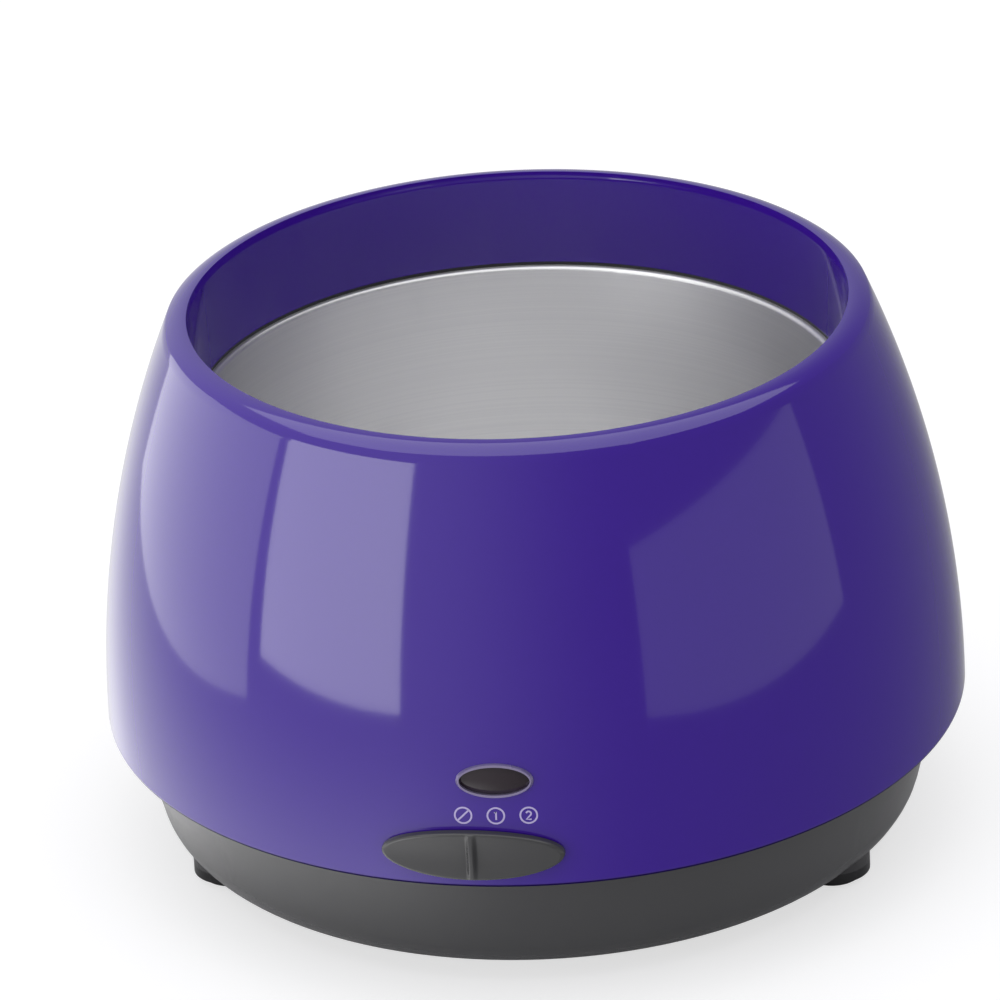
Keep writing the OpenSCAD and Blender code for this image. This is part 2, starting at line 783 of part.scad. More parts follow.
// A saddle round the fuse with one foot on the clamp plate
module fuse_clip() {
    reach = fuse_r + fit_gap;
    color(satin) difference() {
        union() {
            translate([0, fuse_y, fuse_z]) rotate([0, 90, 0])
                cylinder(r = reach + clip_t, h = clip_w, center = true, $fn = 48);
            box_between([-clip_w / 2, fuse_y - reach - clip_t, fuse_z],
                [clip_w / 2, fuse_y + reach + clip_t, clamp_z]);
            box_between([-clip_w / 2, fuse_y - reach - clip_t - clip_foot, clamp_z - clip_t],
                [clip_w / 2, fuse_y - reach, clamp_z]);
        }
        translate([0, fuse_y, fuse_z]) rotate([0, 90, 0])
            cylinder(r = reach, h = clip_w + 2 * overrun, center = true, $fn = 48);
        box_between([-clip_w, fuse_y - reach, fuse_z], [clip_w, fuse_y + reach, clamp_z + overrun]);
        translate([0, clip_screw_y, clamp_z - clip_t - overrun])
            cylinder(r = ear_screw_r + bore_gap, h = clip_t + 2 * overrun, $fn = 32);
    }
}

// Two hold the thermostat's strap and one the fuse's clip; all end inside the clamp plate
module strap_screws() {
    color(steel) {
        for (side = [-1, 1]) translate([side * strap_screw_x, 0, clamp_z - strap_t])
            screw(ear_screw_r, strap_t + clamp_t - fit_gap, strap_head_r, strap_head_h);
        translate([0, clip_screw_y, clamp_z - clip_t])
            screw(ear_screw_r, clip_t + clamp_t - fit_gap, strap_head_r, strap_head_h);
    }
}

module indicator_bezel() {
    color(satin) on_wall(window_z) difference() {
        union() {
            oval(bezel_w, bezel_h, -bezel_recess, 0);
            scale([bezel_w / 2, bezel_h / 2, 1]) cylinder(r1 = 1, r2 = bezel_face_share, h = bezel_proud);
            oval(bezel_neck_w, bezel_neck_h, -bezel_neck, -bezel_recess);
        }
        oval(bezel_w - 2 * bezel_ring, bezel_h - 2 * bezel_ring, -bezel_neck - overrun, bezel_proud + overrun);
    }
}

// A dark domed window with a flange that is trapped behind the bezel's neck
module indicator_lens() {
    color(black) on_wall(window_z) {
        intersection() {
            oval(lens_w, lens_h, -bezel_neck, bezel_proud);
            translate([0, 0, lens_rise - lens_dome])
                scale([lens_w * lens_dome_share / lens_dome, lens_h * lens_dome_share / lens_dome, 1])
                    sphere(lens_dome);
        }
        oval(bezel_w, bezel_h, -bezel_neck - lens_flange_t, -bezel_neck);
    }
}

// An open box that is held between two rails on the wall
module lamp_holder() {
    front = -wall - holder_in;
    color(satin) on_wall(window_z) difference() {
        box_between([-holder_w / 2, -holder_h / 2, -holder_back], [holder_w / 2, holder_h / 2, front]);
        box_between([holder_wall - holder_w / 2, holder_wall - holder_h / 2, holder_wall - holder_back],
            [holder_w / 2 - holder_wall, holder_h / 2 - holder_wall, front + overrun]);
        for (side = [-1, 1]) translate([side * lamp_wire_x, 0, -holder_back - overrun])
            cylinder(r = lamp_wire_r + fit_gap, h = holder_wall + 2 * overrun, $fn = 24);
    }
}

module indicator_lamp() {
    color("orange") on_wall(window_z) translate([0, 0, holder_wall - holder_back]) {
        cylinder(r = lamp_r, h = lamp_l - lamp_r, $fn = 48);
        translate([0, 0, lamp_l - lamp_r]) sphere(lamp_r, $fn = 48);
    }
}

// The selector's pieces are drawn at the middle setting and turned back to the off setting
module at_off() {
    rotate([0, 0, -step_angle]) children();
}

// An oval along the radius at the knob's height
module knob_oval(w, h) {
    translate([0, 0, knob_z]) rotate([90, 0, 0]) oval(w, h, shoe_r, skirt_r + 2 * knob_proud);
}

module selector_knob() {
    crown_y = wall_r(knob_z) + knob_proud - knob_crown_r;
    scoop_floor_r = wall_r(knob_z) + knob_proud - scoop_depth;
    color(grey) at_off() difference() {
        union() {
            difference() {
                intersection() {
                    knob_oval(knob_w, knob_h);
                    translate([0, -crown_y, knob_z])
                        scale([knob_w * knob_crown_share / (2 * knob_crown_r), 1, 1]) sphere(knob_crown_r);
                }
                rotate_extrude($fn = 180) wall_region(-slide_gap);
            }
            difference() {
                box_between([-tongue_w / 2, -wall_r(knob_z) - knob_proud / 4, knob_z - tongue_h / 2],
                    [tongue_w / 2, -shoe_r + shoe_t, knob_z + tongue_h / 2]);
                translate([0, 0, seam_h]) cylinder(r = shoe_r, h = knob_h + knob_rise, $fn = 180);
            }
        }
        difference() {
            translate([0, scoop_sweep_r - scoop_floor_r, knob_z]) rotate([0, 0, -90 - spigot_open])
                rotate_extrude(angle = 2 * spigot_open, $fn = 360) translate([scoop_sweep_r + scoop_r, 0])
                    circle(scoop_r);
            box_between([-ridge_w / 2, -skirt_r - 2 * knob_proud, seam_h], [ridge_w / 2, -shoe_r, knob_z + knob_h]);
        }
        translate([0, -shoe_r + overrun, knob_z]) rotate([90, 0, 0])
            cylinder(r = shoe_screw_r + thread_gap, h = shoe_screw_l - shoe_t + overrun + fit_gap, $fn = 32);
    }
}

// A curved shoe inside the wall with the fork's two prongs on it
module selector_carriage() {
    color(black) at_off() difference() {
        union() {
            front_segment(shoe_r - shoe_t, shoe_r, knob_z - shoe_half_h, knob_z + shoe_half_h, shoe_half_angle);
            for (side = [-1, 1]) translate([side * (button_w / 2 + slide_gap + prong_w / 2), 0, 0])
                box_between([-prong_w / 2, -shoe_r + shoe_t / 2, knob_z - shoe_half_h],
                    [prong_w / 2, -prong_r, knob_z + shoe_half_h]);
        }
        translate([0, -shoe_r + shoe_t, knob_z]) {
            rotate([-90, 0, 0]) cylinder(r = shoe_screw_head_r + fit_gap, h = overrun, $fn = 32);
            rotate([90, 0, 0]) translate([0, 0, -overrun])
                cylinder(r = shoe_screw_r + fit_gap, h = shoe_t + 2 * overrun, $fn = 32);
        }
    }
}

module selector_screw() {
    color(steel) at_off() translate([0, -shoe_r + shoe_t, knob_z]) rotate([90, 0, 0])
        screw(shoe_screw_r, shoe_screw_l, shoe_screw_head_r, shoe_screw_head_h);
}

// The slide switch is drawn about its own centre, at the knob's height
module at_switch() {
    translate([0, 0, knob_z]) children();
}

module switch_frame() {
    color(steel) at_switch() difference() {
        union() {
            box_between([-ear_half_w, -frame_r, -frame_half_h], [ear_half_w, -frame_r + sheet, frame_half_h]);
            box_between([-frame_half_w, -frame_r, -frame_half_h],
                [frame_half_w, -frame_r + frame_depth, frame_half_h]);
        }
        box_between([-frame_half_w + sheet, -frame_r + sheet, -frame_half_h + sheet],
            [frame_half_w - sheet, -frame_r + frame_depth + overrun, frame_half_h - sheet]);
        box_between([-(button_w + travel) / 2 - tongue_gap, -frame_r - overrun, -button_w / 2 - slide_gap],
            [(button_w + travel) / 2 + tongue_gap, -frame_r + sheet + overrun, button_w / 2 + slide_gap]);
        for (side = [-1, 1]) translate([side * ear_hole_x, -frame_r - overrun, 0]) rotate([-90, 0, 0])
            cylinder(r = ear_screw_r + bore_gap, h = sheet + 2 * overrun, $fn = 32);
    }
}

function lug_x(i) = (i - 1.5) * lug_pitch;

module switch_wafer() {
    half_w = frame_half_w - sheet - fit_gap;
    half_h = frame_half_h - sheet - fit_gap;
    color("sienna") at_switch() difference() {
        box_between([-half_w, -wafer_r, -half_h], [half_w, -wafer_r + wafer_t, half_h]);
        for (i = [0:3]) translate([lug_x(i), 0, 0])
            box_between([-lug_t / 2 - thread_gap, -wafer_r - overrun, -lug_h / 2 - thread_gap],
                [lug_t / 2 + thread_gap, -wafer_r + wafer_t + overrun, lug_h / 2 + thread_gap]);
    }
}

module switch_terminals() {
    color(brass) at_switch() for (i = [0:3]) translate([lug_x(i), 0, 0]) {
        box_between([-lug_pad_w / 2, -wafer_r - lug_t, -lug_h / 2], [lug_pad_w / 2, -wafer_r, lug_h / 2]);
        box_between([-lug_t / 2, -wafer_r - lug_t, -lug_h / 2],
            [lug_t / 2, -wafer_r + wafer_t + lug_l, lug_h / 2]);
    }
}

module switch_screws() {
    color(steel) at_switch() for (side = [-1, 1])
        translate([side * ear_hole_x, -frame_r + sheet, 0]) rotate([90, 0, 0])
            screw(ear_screw_r, ear_screw_l, strap_head_r, strap_head_h);
}

// A leaf under the frame's top with a bump over the slider's notches, drawn as it stands between two settings
module detent_spring() {
    top = frame_half_h - sheet;
    color(steel) at_switch() translate([0, -contact_r - detent_w, 0]) {
        box_between([-slider_half_w, -detent_w / 2, top - detent_t], [slider_half_w, detent_w / 2, top]);
        intersection() {
            translate([0, 0, top]) rotate([90, 0, 0]) cylinder(r = detent_r, h = detent_w, center = true, $fn = 32);
            box_between([-detent_r, -detent_w, top - detent_r], [detent_r, detent_w, top]);
        }
    }
}

// The button reaches through the frame into the fork; the notches face the detent spring
module switch_actuator() {
    front = frame_r - sheet - slide_gap;
    color(black) at_switch() translate([rest_x, 0, 0]) difference() {
        union() {
            box_between([-slider_half_w, -front, -slider_half_h],
                [slider_half_w, -contact_r - contact_t, slider_half_h]);
            box_between([-button_w / 2, -button_r, -button_w / 2], [button_w / 2, -front + overrun, button_w / 2]);
        }
        for (i = [-1:1]) translate([i * lug_pitch, -frame_r, slider_half_h]) rotate([-90, 0, 0])
            cylinder(r = detent_r, h = frame_depth, $fn = 32);
    }
}

// A strip on the slider's back that joins two neighbouring contacts
module moving_contact() {
    half_w = (lug_pitch + lug_pad_w) / 2;
    color(brass) at_switch() translate([rest_x, 0, 0])
        box_between([-half_w, -contact_r - contact_t, -lug_h / 2], [half_w, -contact_r, lug_h / 2]);
}

// A grommet that sits in the gland's hole with a flange on either side
module cord_gland() {
    gland_back = -gland_pad_t - gland_flange_t;
    color(black) translate([0, gland_seat, gland_z]) rotate([-90, 0, 0]) difference() {
        union() {
            cylinder(r = gland_flange_r, h = gland_flange_t);
            translate([0, 0, gland_back]) cylinder(r = gland_neck_r, h = -gland_back);
            translate([0, 0, gland_back]) cylinder(r = gland_flange_r - gland_lip, h = gland_flange_t);
        }
        translate([0, 0, gland_back - overrun])
            cylinder(r = gland_bore_r, h = gland_flange_t - gland_back + 2 * overrun);
    }
}

module terminal_block() {
    color("ivory") translate([0, block_y, block_z]) difference() {
        box_between([-block_w / 2, -block_d / 2, 0], [block_w / 2, block_d / 2, block_h]);
        for (side = [-1, 1]) translate([side * block_pole_x, 0, 0]) {
            translate([0, 0, block_h / 2]) rotate([90, 0, 0])
                cylinder(r = block_bore_r, h = block_d + 2 * overrun, center = true, $fn = 32);
            translate([0, 0, block_h / 2]) cylinder(r = screw_r + bore_gap, h = block_h, $fn = 32);
        }
        translate([0, 0, -overrun]) cylinder(r = screw_r + bore_gap, h = block_h + 2 * overrun, $fn = 32);
        translate([0, 0, block_h - block_sink])
            cylinder(r = screw_head_r + bore_gap, h = block_sink + overrun, $fn = 32);
    }
}

// Set screws that are driven down on the wires' ends
module terminal_screws() {
    color(brass) for (side = [-1, 1])
        translate([side * block_pole_x, block_y, block_z + block_h / 2 + wire_r])
            cylinder(r = screw_r, h = block_h / 2 - wire_r, $fn = 32);
}

module block_screw() {
    color(steel) translate([0, block_y, block_z + block_h - block_sink]) rotate([180, 0, 0])
        screw(screw_r, block_h - block_sink + block_bite, screw_head_r, screw_head_h);
}

module base_screws() {
    color(steel) for (angle = tower_angles) {
        at_front(angle, tower_ring_r, tower_top - tower_floor)
            screw(screw_r, base_screw_l, screw_head_r, screw_head_h);
    }
}

module feet() {
    color(black) for (angle = foot_angles) at_front(angle, foot_ring_r, 0) rotate_extrude() {
        square([foot_pad_r - foot_pad_round, foot_pad_round]);
        translate([0, foot_pad_round]) square([foot_pad_r, foot_boss_z + foot_pocket - foot_pad_round]);
        translate([foot_pad_r - foot_pad_round, foot_pad_round]) circle(foot_pad_round);
    }
}

// Wires: tubes swept along rounded routes
function unit(v) = v / norm(v);
function rounded(p) = [p[0], for (i = [0:len(p) - 2]) each [(3 * p[i] + p[i + 1]) / 4, (p[i] + 3 * p[i + 1]) / 4],
    p[len(p) - 1]];
function heading(p, i) = unit(p[min(i + 1, len(p) - 1)] - p[max(i - 1, 0)]);
function sideways(p, i) = let (along = heading(p, i))
    i == 0 ? unit(cross(along, abs(along.z) < 0.9 ? [0, 0, 1] : [1, 0, 0]))
    : let (before = sideways(p, i - 1)) unit(before - (before * along) * along);
function tube_ring(p, i, r, sides) = let (u = sideways(p, i), v = cross(heading(p, i), u))
    [for (k = [0:sides - 1]) p[i] + r * (cos(360 * k / sides) * u + sin(360 * k / sides) * v)];
module wire(route, r) {
    sides = 6;
    path = rounded(rounded(route));
    last = len(path) - 1;
    polyhedron(points = [for (i = [0:last]) each tube_ring(path, i, r, sides)], faces = concat(
        [[for (k = [0:sides - 1]) k]],
        [for (i = [0:last - 1], k = [0:sides - 1]) let (a = i * sides + k, b = i * sides + (k + 1) % sides)
            [a, a + sides, b + sides, b]],
        [[for (k = [sides - 1:-1:0]) last * sides + k]]));
}

// From the terminal block over the shield to the fuse
module fuse_wire() {
    side_x = fuse_lead_end + wire_bend;
    wire([[fuse_lead_end, fuse_y, fuse_z], [side_x, fuse_y, fuse_z],
        [side_x, fuse_y + 2 * wire_bend, fuse_z - wire_r],
        [block_pole_x, hatch_mid_y - wire_bend, shield_top + wire_bend], [block_pole_x, hatch_mid_y, shield_z],
        [block_pole_x, hatch_mid_y, block_wire_z], [block_pole_x, block_y, block_wire_z]], wire_r);
}

// From the terminal block along the pan's floor and up to the switch
module feed_wire() {
    floor_z = pan_floor + 2 * wire_r;
    lug = lug_x(0);
    wire([[-block_pole_x, block_y, block_wire_z], [-block_pole_x, hatch_mid_y + wire_bend, block_wire_z],
        [-block_pole_x - wire_bend, hatch_mid_y - wire_bend, floor_z], [-feed_x, fuse_y, floor_z],
        [-feed_x, -fuse_y, floor_z], [-block_w, -feed_x, floor_z],
        [lug - wire_bend, -lug_wire_r, pan_floor + 2 * wire_bend],
        [lug - wire_r, -lug_wire_r, knob_z - 2 * wire_bend], [lug, -lug_wire_r + wire_bend, knob_z - wire_r],
        [lug, -lug_wire_r + wire_r, knob_z], [lug, -lug_wire_r, knob_z]], wire_r);
}

// From the switch over the shield's rim to the thermostat's front tab
module thermostat_wire() {
    lug = lug_x(1);
    under_z = clamp_z - clamp_lip - 2 * wire_r;
    wire([[lug, -lug_wire_r, knob_z], [lug, -lug_wire_r + wire_bend, knob_z],
        [-2 * wire_bend, -shield_r + slide_gap, shield_top + shield_rim + 2 * wire_r],
        [-2 * wire_bend, -clamp_r - wire_bend, under_z], [-2 * wire_bend, -stud_ring_r, under_z],
        [-wire_bend, -tab_wire_y - 2 * wire_bend, tab_wire_z], [0, -tab_wire_y - wire_bend, tab_wire_z],
        [0, -tab_wire_y, tab_wire_z]], wire_r);
}

// From the thermostat's back tab up to the heater's first terminal
module first_wire() {
    x = terminal_x(0);
    y = terminal_y(0);
    wire([[0, tab_wire_y, tab_wire_z], [0, tab_wire_y + wire_bend, tab_wire_z - wire_r],
        [x, tab_wire_y + wire_bend, tab_wire_z - wire_r], [x - wire_r, y, tab_wire_z], [x, y, tab_wire_z + wire_r],
        [x, y, terminal_wire_z]], wire_r);
}

// From the heater's last terminal back to the fuse
module last_wire() {
    x = terminal_x(1);
    y = terminal_y(1);
    side_x = fuse_lead_end + wire_bend;
    wire([[x, y, terminal_wire_z], [x, y, terminal_wire_z - 2 * wire_r],
        [x - wire_bend, y - 2 * wire_bend, terminal_wire_z - 2 * wire_r],
        [-side_x, fuse_y + 2 * wire_bend, terminal_wire_z], [-side_x, fuse_y, fuse_z], [-fuse_lead_end, fuse_y, fuse_z]],
        wire_r);
}

// From the lamp down to one of the switch's contacts
module lamp_wire(side, lug) {
    reach = holder_back - holder_wall + fit_gap;
    lean = wall_lean(window_z);
    back = lamp_tail + reach;
    x = lug_x(lug);
    wire([[side * lamp_wire_x, -wall_r(window_z) + reach * cos(lean), window_z - reach * sin(lean)],
        [side * lamp_wire_x, -wall_r(window_z) + back * cos(lean), window_z - back * sin(lean)],
        [x, -lug_wire_r - wire_r, knob_z + 2 * wire_bend],
        [x, -lug_wire_r + lamp_tail / 2, knob_z + wire_bend],
        [x, -lug_wire_r + lamp_tail / 2, knob_z], [x, -lug_wire_r, knob_z]], lamp_wire_r);
}

module lead_wires() {
    color("white") {
        fuse_wire();
        feed_wire();
        thermostat_wire();
        first_wire();
        last_wire();
        lamp_wire(1, 3);
        lamp_wire(-1, 2);
    }
}

housing();
base_pan();
heating_well();
well_seal();
well_screws();
well_studs();
upper_mica();
heater_ribbon();
lower_mica();
heater_terminals();
clamp_plate();
clamp_nuts();
thermostat_cap();
thermostat_body();
thermostat_tabs();
thermostat_strap();
thermal_fuse();
fuse_clip();
strap_screws();
shield_spacers();
heat_shield();
shield_nuts();
indicator_bezel();
indicator_lens();
lamp_holder();
indicator_lamp();
selector_knob();
selector_carriage();
selector_screw();
switch_frame();
switch_wafer();
switch_terminals();
switch_screws();
detent_spring();
switch_actuator();
moving_contact();
cord_gland();
terminal_block();
terminal_screws();
block_screw();
base_screws();
feet();
lead_wires();
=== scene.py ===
import math

import bmesh
import bpy
import numpy as np
from mathutils import Matrix, Vector


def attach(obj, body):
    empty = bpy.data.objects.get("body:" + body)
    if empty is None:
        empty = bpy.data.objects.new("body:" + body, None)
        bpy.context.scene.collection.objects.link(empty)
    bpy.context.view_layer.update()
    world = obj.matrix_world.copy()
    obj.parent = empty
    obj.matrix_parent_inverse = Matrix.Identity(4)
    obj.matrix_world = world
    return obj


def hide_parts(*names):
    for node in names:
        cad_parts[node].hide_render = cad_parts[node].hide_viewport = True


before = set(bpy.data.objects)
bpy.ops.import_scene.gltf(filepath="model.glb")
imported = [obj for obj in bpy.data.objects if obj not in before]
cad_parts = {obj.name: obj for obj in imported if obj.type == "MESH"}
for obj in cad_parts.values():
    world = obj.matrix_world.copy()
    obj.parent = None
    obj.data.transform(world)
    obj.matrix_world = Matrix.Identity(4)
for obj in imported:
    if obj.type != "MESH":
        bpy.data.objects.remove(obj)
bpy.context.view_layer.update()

scene = bpy.context.scene


# ---- Camera
# Stands where the photograph was taken from: a little to the right of the switch, looking
# down on the rim, with the slight roll that makes the pot lean.
look_at = Vector((0, 0, 0.064))
camera_distance = 1.479943
camera_azimuth, camera_elevation, camera_roll = math.radians(6), math.radians(25.609), math.radians(-2.92)
focal_pixels = 6905.04
image_pixels, sensor_width = 1000, 36
centre_right, centre_up = image_pixels / 2 - 529.246, 543.058 - image_pixels / 2

towards = Vector((math.sin(camera_azimuth) * math.cos(camera_elevation),
                  -math.cos(camera_azimuth) * math.cos(camera_elevation), math.sin(camera_elevation)))
level_right = Vector((math.cos(camera_azimuth), math.sin(camera_azimuth), 0))
level_up = towards.cross(level_right)
image_right = level_right * math.cos(camera_roll) + level_up * math.sin(camera_roll)
image_up = level_up * math.cos(camera_roll) - level_right * math.sin(camera_roll)
place = look_at + towards * camera_distance
aim = look_at + (image_right * centre_right + image_up * centre_up) * camera_distance / focal_pixels
back = (place - aim).normalized()
right = (image_right - back * image_right.dot(back)).normalized()
up = back.cross(right)
lens = bpy.data.cameras.new("camera")
lens.sensor_width = sensor_width
lens.lens = focal_pixels * sensor_width / image_pixels
lens.clip_end = 20
camera = bpy.data.objects.new("camera", lens)
camera.matrix_world = Matrix.Translation(place) @ Matrix((right, up, back)).transposed().to_4x4()
scene.collection.objects.link(camera)
scene.camera = camera
scene.view_settings.view_transform = "Standard"


# ---- Studio
# A pale floor, a wide soft box overhead, two panels to the left of the camera and a dim one to
# its right. The camera sees the floor as white where no shadow falls, and the pot's gloss
# looks through it but close by, so that the panels show in the wall without a horizon.
floor_half, near_floor = 3, 0.075
floor_colour, seen_colour, seen_glow = (0.84, 0.84, 0.85, 1), (0.46, 0.46, 0.47, 1), (0.66, 0.66, 0.66, 1)
room_colour = (0.36, 0.36, 0.375, 1)
floor_mesh = bpy.data.meshes.new("floor")
floor_mesh.from_pydata([(-floor_half, -floor_half, 0), (floor_half, -floor_half, 0), (floor_half, floor_half, 0),
                        (-floor_half, floor_half, 0)], [], [(0, 1, 2, 3)])
floor = bpy.data.objects.new("floor", floor_mesh)
scene.collection.objects.link(floor)


# One step of arithmetic in a node tree: numbers go in as they are, sockets by a link.
def reckon(tree, operation, *values):
    node = tree.nodes.new("ShaderNodeMath")
    node.operation = operation
    for socket, value in zip(node.inputs, values):
        if isinstance(value, (int, float)):
            socket.default_value = value
        else:
            tree.links.new(value, socket)
    return node.outputs[0]


floor_paint = bpy.data.materials.new("pale_floor")
floor_paint.use_nodes = True
nodes, links = floor_paint.node_tree.nodes, floor_paint.node_tree.links
nodes.clear()
path, out = nodes.new("ShaderNodeLightPath"), nodes.new("ShaderNodeOutputMaterial")
cloth, seen_cloth = nodes.new("ShaderNodeBsdfDiffuse"), nodes.new("ShaderNodeBsdfDiffuse")
glow, clear = nodes.new("ShaderNodeEmission"), nodes.new("ShaderNodeBsdfTransparent")
cloth.inputs["Color"].default_value = floor_colour
seen_cloth.inputs["Color"].default_value = seen_colour
glow.inputs["Color"].default_value = seen_glow
seen_floor, far = nodes.new("ShaderNodeAddShader"), nodes.new("ShaderNodeMapRange")
pick_seen, pick_gloss = nodes.new("ShaderNodeMixShader"), nodes.new("ShaderNodeMixShader")
links.new(seen_cloth.outputs[0], seen_floor.inputs[0])
links.new(glow.outputs[0], seen_floor.inputs[1])
links.new(path.outputs["Is Camera Ray"], pick_seen.inputs["Fac"])
links.new(cloth.outputs[0], pick_seen.inputs[1])
links.new(seen_floor.outputs[0], pick_seen.inputs[2])
far.interpolation_type = "SMOOTHSTEP"
far.inputs["From Min"].default_value, far.inputs["From Max"].default_value = 0.0, near_floor
links.new(path.outputs["Ray Length"], far.inputs["Value"])
links.new(reckon(floor_paint.node_tree, "MULTIPLY", far.outputs[0], path.outputs["Is Glossy Ray"]),
          pick_gloss.inputs["Fac"])
links.new(pick_seen.outputs[0], pick_gloss.inputs[1])
links.new(clear.outputs[0], pick_gloss.inputs[2])
links.new(pick_gloss.outputs[0], out.inputs["Surface"])
floor.data.materials.append(floor_paint)


# A lamp at a bearing from the camera's side of the pot, in degrees, and turned to it. Its power
# follows from how bright its face is.
def soft_box(name, bearing, rise, distance, width, height, brightness):
    lamp = bpy.data.lights.new(name, "AREA")
    lamp.shape, lamp.size, lamp.size_y = "RECTANGLE", width, height
    lamp.energy = brightness * math.pi * width * height
    box = bpy.data.objects.new(name, lamp)
    turn, lift = camera_azimuth + math.radians(bearing), math.radians(rise)
    away = Vector((math.sin(turn) * math.cos(lift), -math.cos(turn) * math.cos(lift), math.sin(lift)))
    box.location = look_at + away * distance
    box.rotation_euler = (-away).to_track_quat("-Z", "Y").to_euler()
    scene.collection.objects.link(box)


soft_box("left_panel", bearing=-55, rise=6, distance=1.6, width=1.2, height=0.86, brightness=2.8)
soft_box("side_panel", bearing=-110, rise=2, distance=1.6, width=1.9, height=1.0, brightness=1.15)
soft_box("right_panel", bearing=58, rise=0, distance=1.6, width=1.9, height=0.62, brightness=0.42)
soft_box("top_box", bearing=0, rise=90, distance=2.0, width=3.0, height=3.0, brightness=1.2)

world = bpy.data.worlds.new("studio")
scene.world = world
world.use_nodes = True
sky, links = world.node_tree.nodes, world.node_tree.links
sky.clear()
sky_out, path = sky.new("ShaderNodeOutputWorld"), sky.new("ShaderNodeLightPath")
where, split = sky.new("ShaderNodeTexCoord"), sky.new("ShaderNodeSeparateXYZ")
seen, lit, gloss = (sky.new("ShaderNodeBackground") for _ in range(3))
pick, pick_gloss = sky.new("ShaderNodeMixShader"), sky.new("ShaderNodeMixShader")
seen.inputs["Color"].default_value = (1, 1, 1, 1)
lit.inputs["Color"].default_value = room_colour
links.new(where.outputs["Generated"], split.inputs[0])


# One smooth change of the room's brightness along one axis of the direction seen.
def room_fade(axis, start, end, value_start, value_end):
    fade = sky.new("ShaderNodeMapRange")
    fade.interpolation_type = "SMOOTHSTEP"
    fade.inputs["From Min"].default_value, fade.inputs["From Max"].default_value = start, end
    fade.inputs["To Min"].default_value, fade.inputs["To Max"].default_value = value_start, value_end
    links.new(split.outputs[axis], fade.inputs["Value"])
    return fade.outputs[0]


across, below = room_fade("X", -0.6, 0.55, 1.0, 0.3), room_fade("Z", -0.85, -0.15, 1.0, 0.0)
low_left = reckon(world.node_tree, "MULTIPLY", room_fade("X", -0.6, 0.0, 2.4, 0.0), below)
links.new(reckon(world.node_tree, "ADD", low_left, across), gloss.inputs["Strength"])
links.new(path.outputs["Is Glossy Ray"], pick_gloss.inputs["Fac"])
links.new(lit.outputs[0], pick_gloss.inputs[1])
links.new(gloss.outputs[0], pick_gloss.inputs[2])
links.new(path.outputs["Is Camera Ray"], pick.inputs["Fac"])
links.new(pick_gloss.outputs[0], pick.inputs[1])
links.new(seen.outputs[0], pick.inputs[2])
links.new(pick.outputs[0], sky_out.inputs["Surface"])


# ---- Housing
# Injection-moulded glossy blue-violet plastic: a bulged wall under a rounded rim, with a
# collar inside it. It is turned finer than the CAD mesh, so that its reflections run smooth.
rim_z, seam_z = 0.121, 0.0303
skirt_r, rim_round, rim_edge, skirt_edge = 0.0926, 0.007, 0.0018, 0.001
wall, collar_wall = 0.0026, 0.0022
collar_foot_r, collar_top_r, collar_foot_z = 0.0693, 0.0696, 0.0997
collar_step_r, collar_step_z, rim_land, crown_overlap, inner_crown_start = 0.00003, 0.0004, 0.0003, 0.00025, 62
crown_r, crown_z = collar_top_r + rim_land, rim_z - rim_round
bulge_x, bulge_z = skirt_r - (crown_r + rim_round - crown_overlap), crown_z - seam_z
bulge_r = (bulge_x ** 2 + bulge_z ** 2) / (2 * bulge_x)
wall_steps, inner_steps, lathe_steps = 48, 24, 288


# How far the bulged wall stands from the pot's axis at a height.
def wall_r(z, inset=0.0):
    return skirt_r - bulge_r + math.sqrt((bulge_r - inset) ** 2 - (z - seam_z) ** 2)


# The points of a round from one angle to another, in degrees.
def arc(r, z, radius, start, end, steps):
    turns = [math.radians(start + (end - start) * i / steps) for i in range(steps + 1)]
    return [(r + radius * math.cos(t), z + radius * math.sin(t)) for t in turns]


# The height at which the rim's round takes over from the wall.
def where_crown_meets(inset):
    low, high = crown_z, rim_z
    for _ in range(60):
        mid = (low + high) / 2
        crown = crown_r + math.sqrt(max((rim_round - inset) ** 2 - (mid - crown_z) ** 2, 0))
        low, high = (mid, high) if crown > wall_r(mid, inset) else (low, mid)
    return low


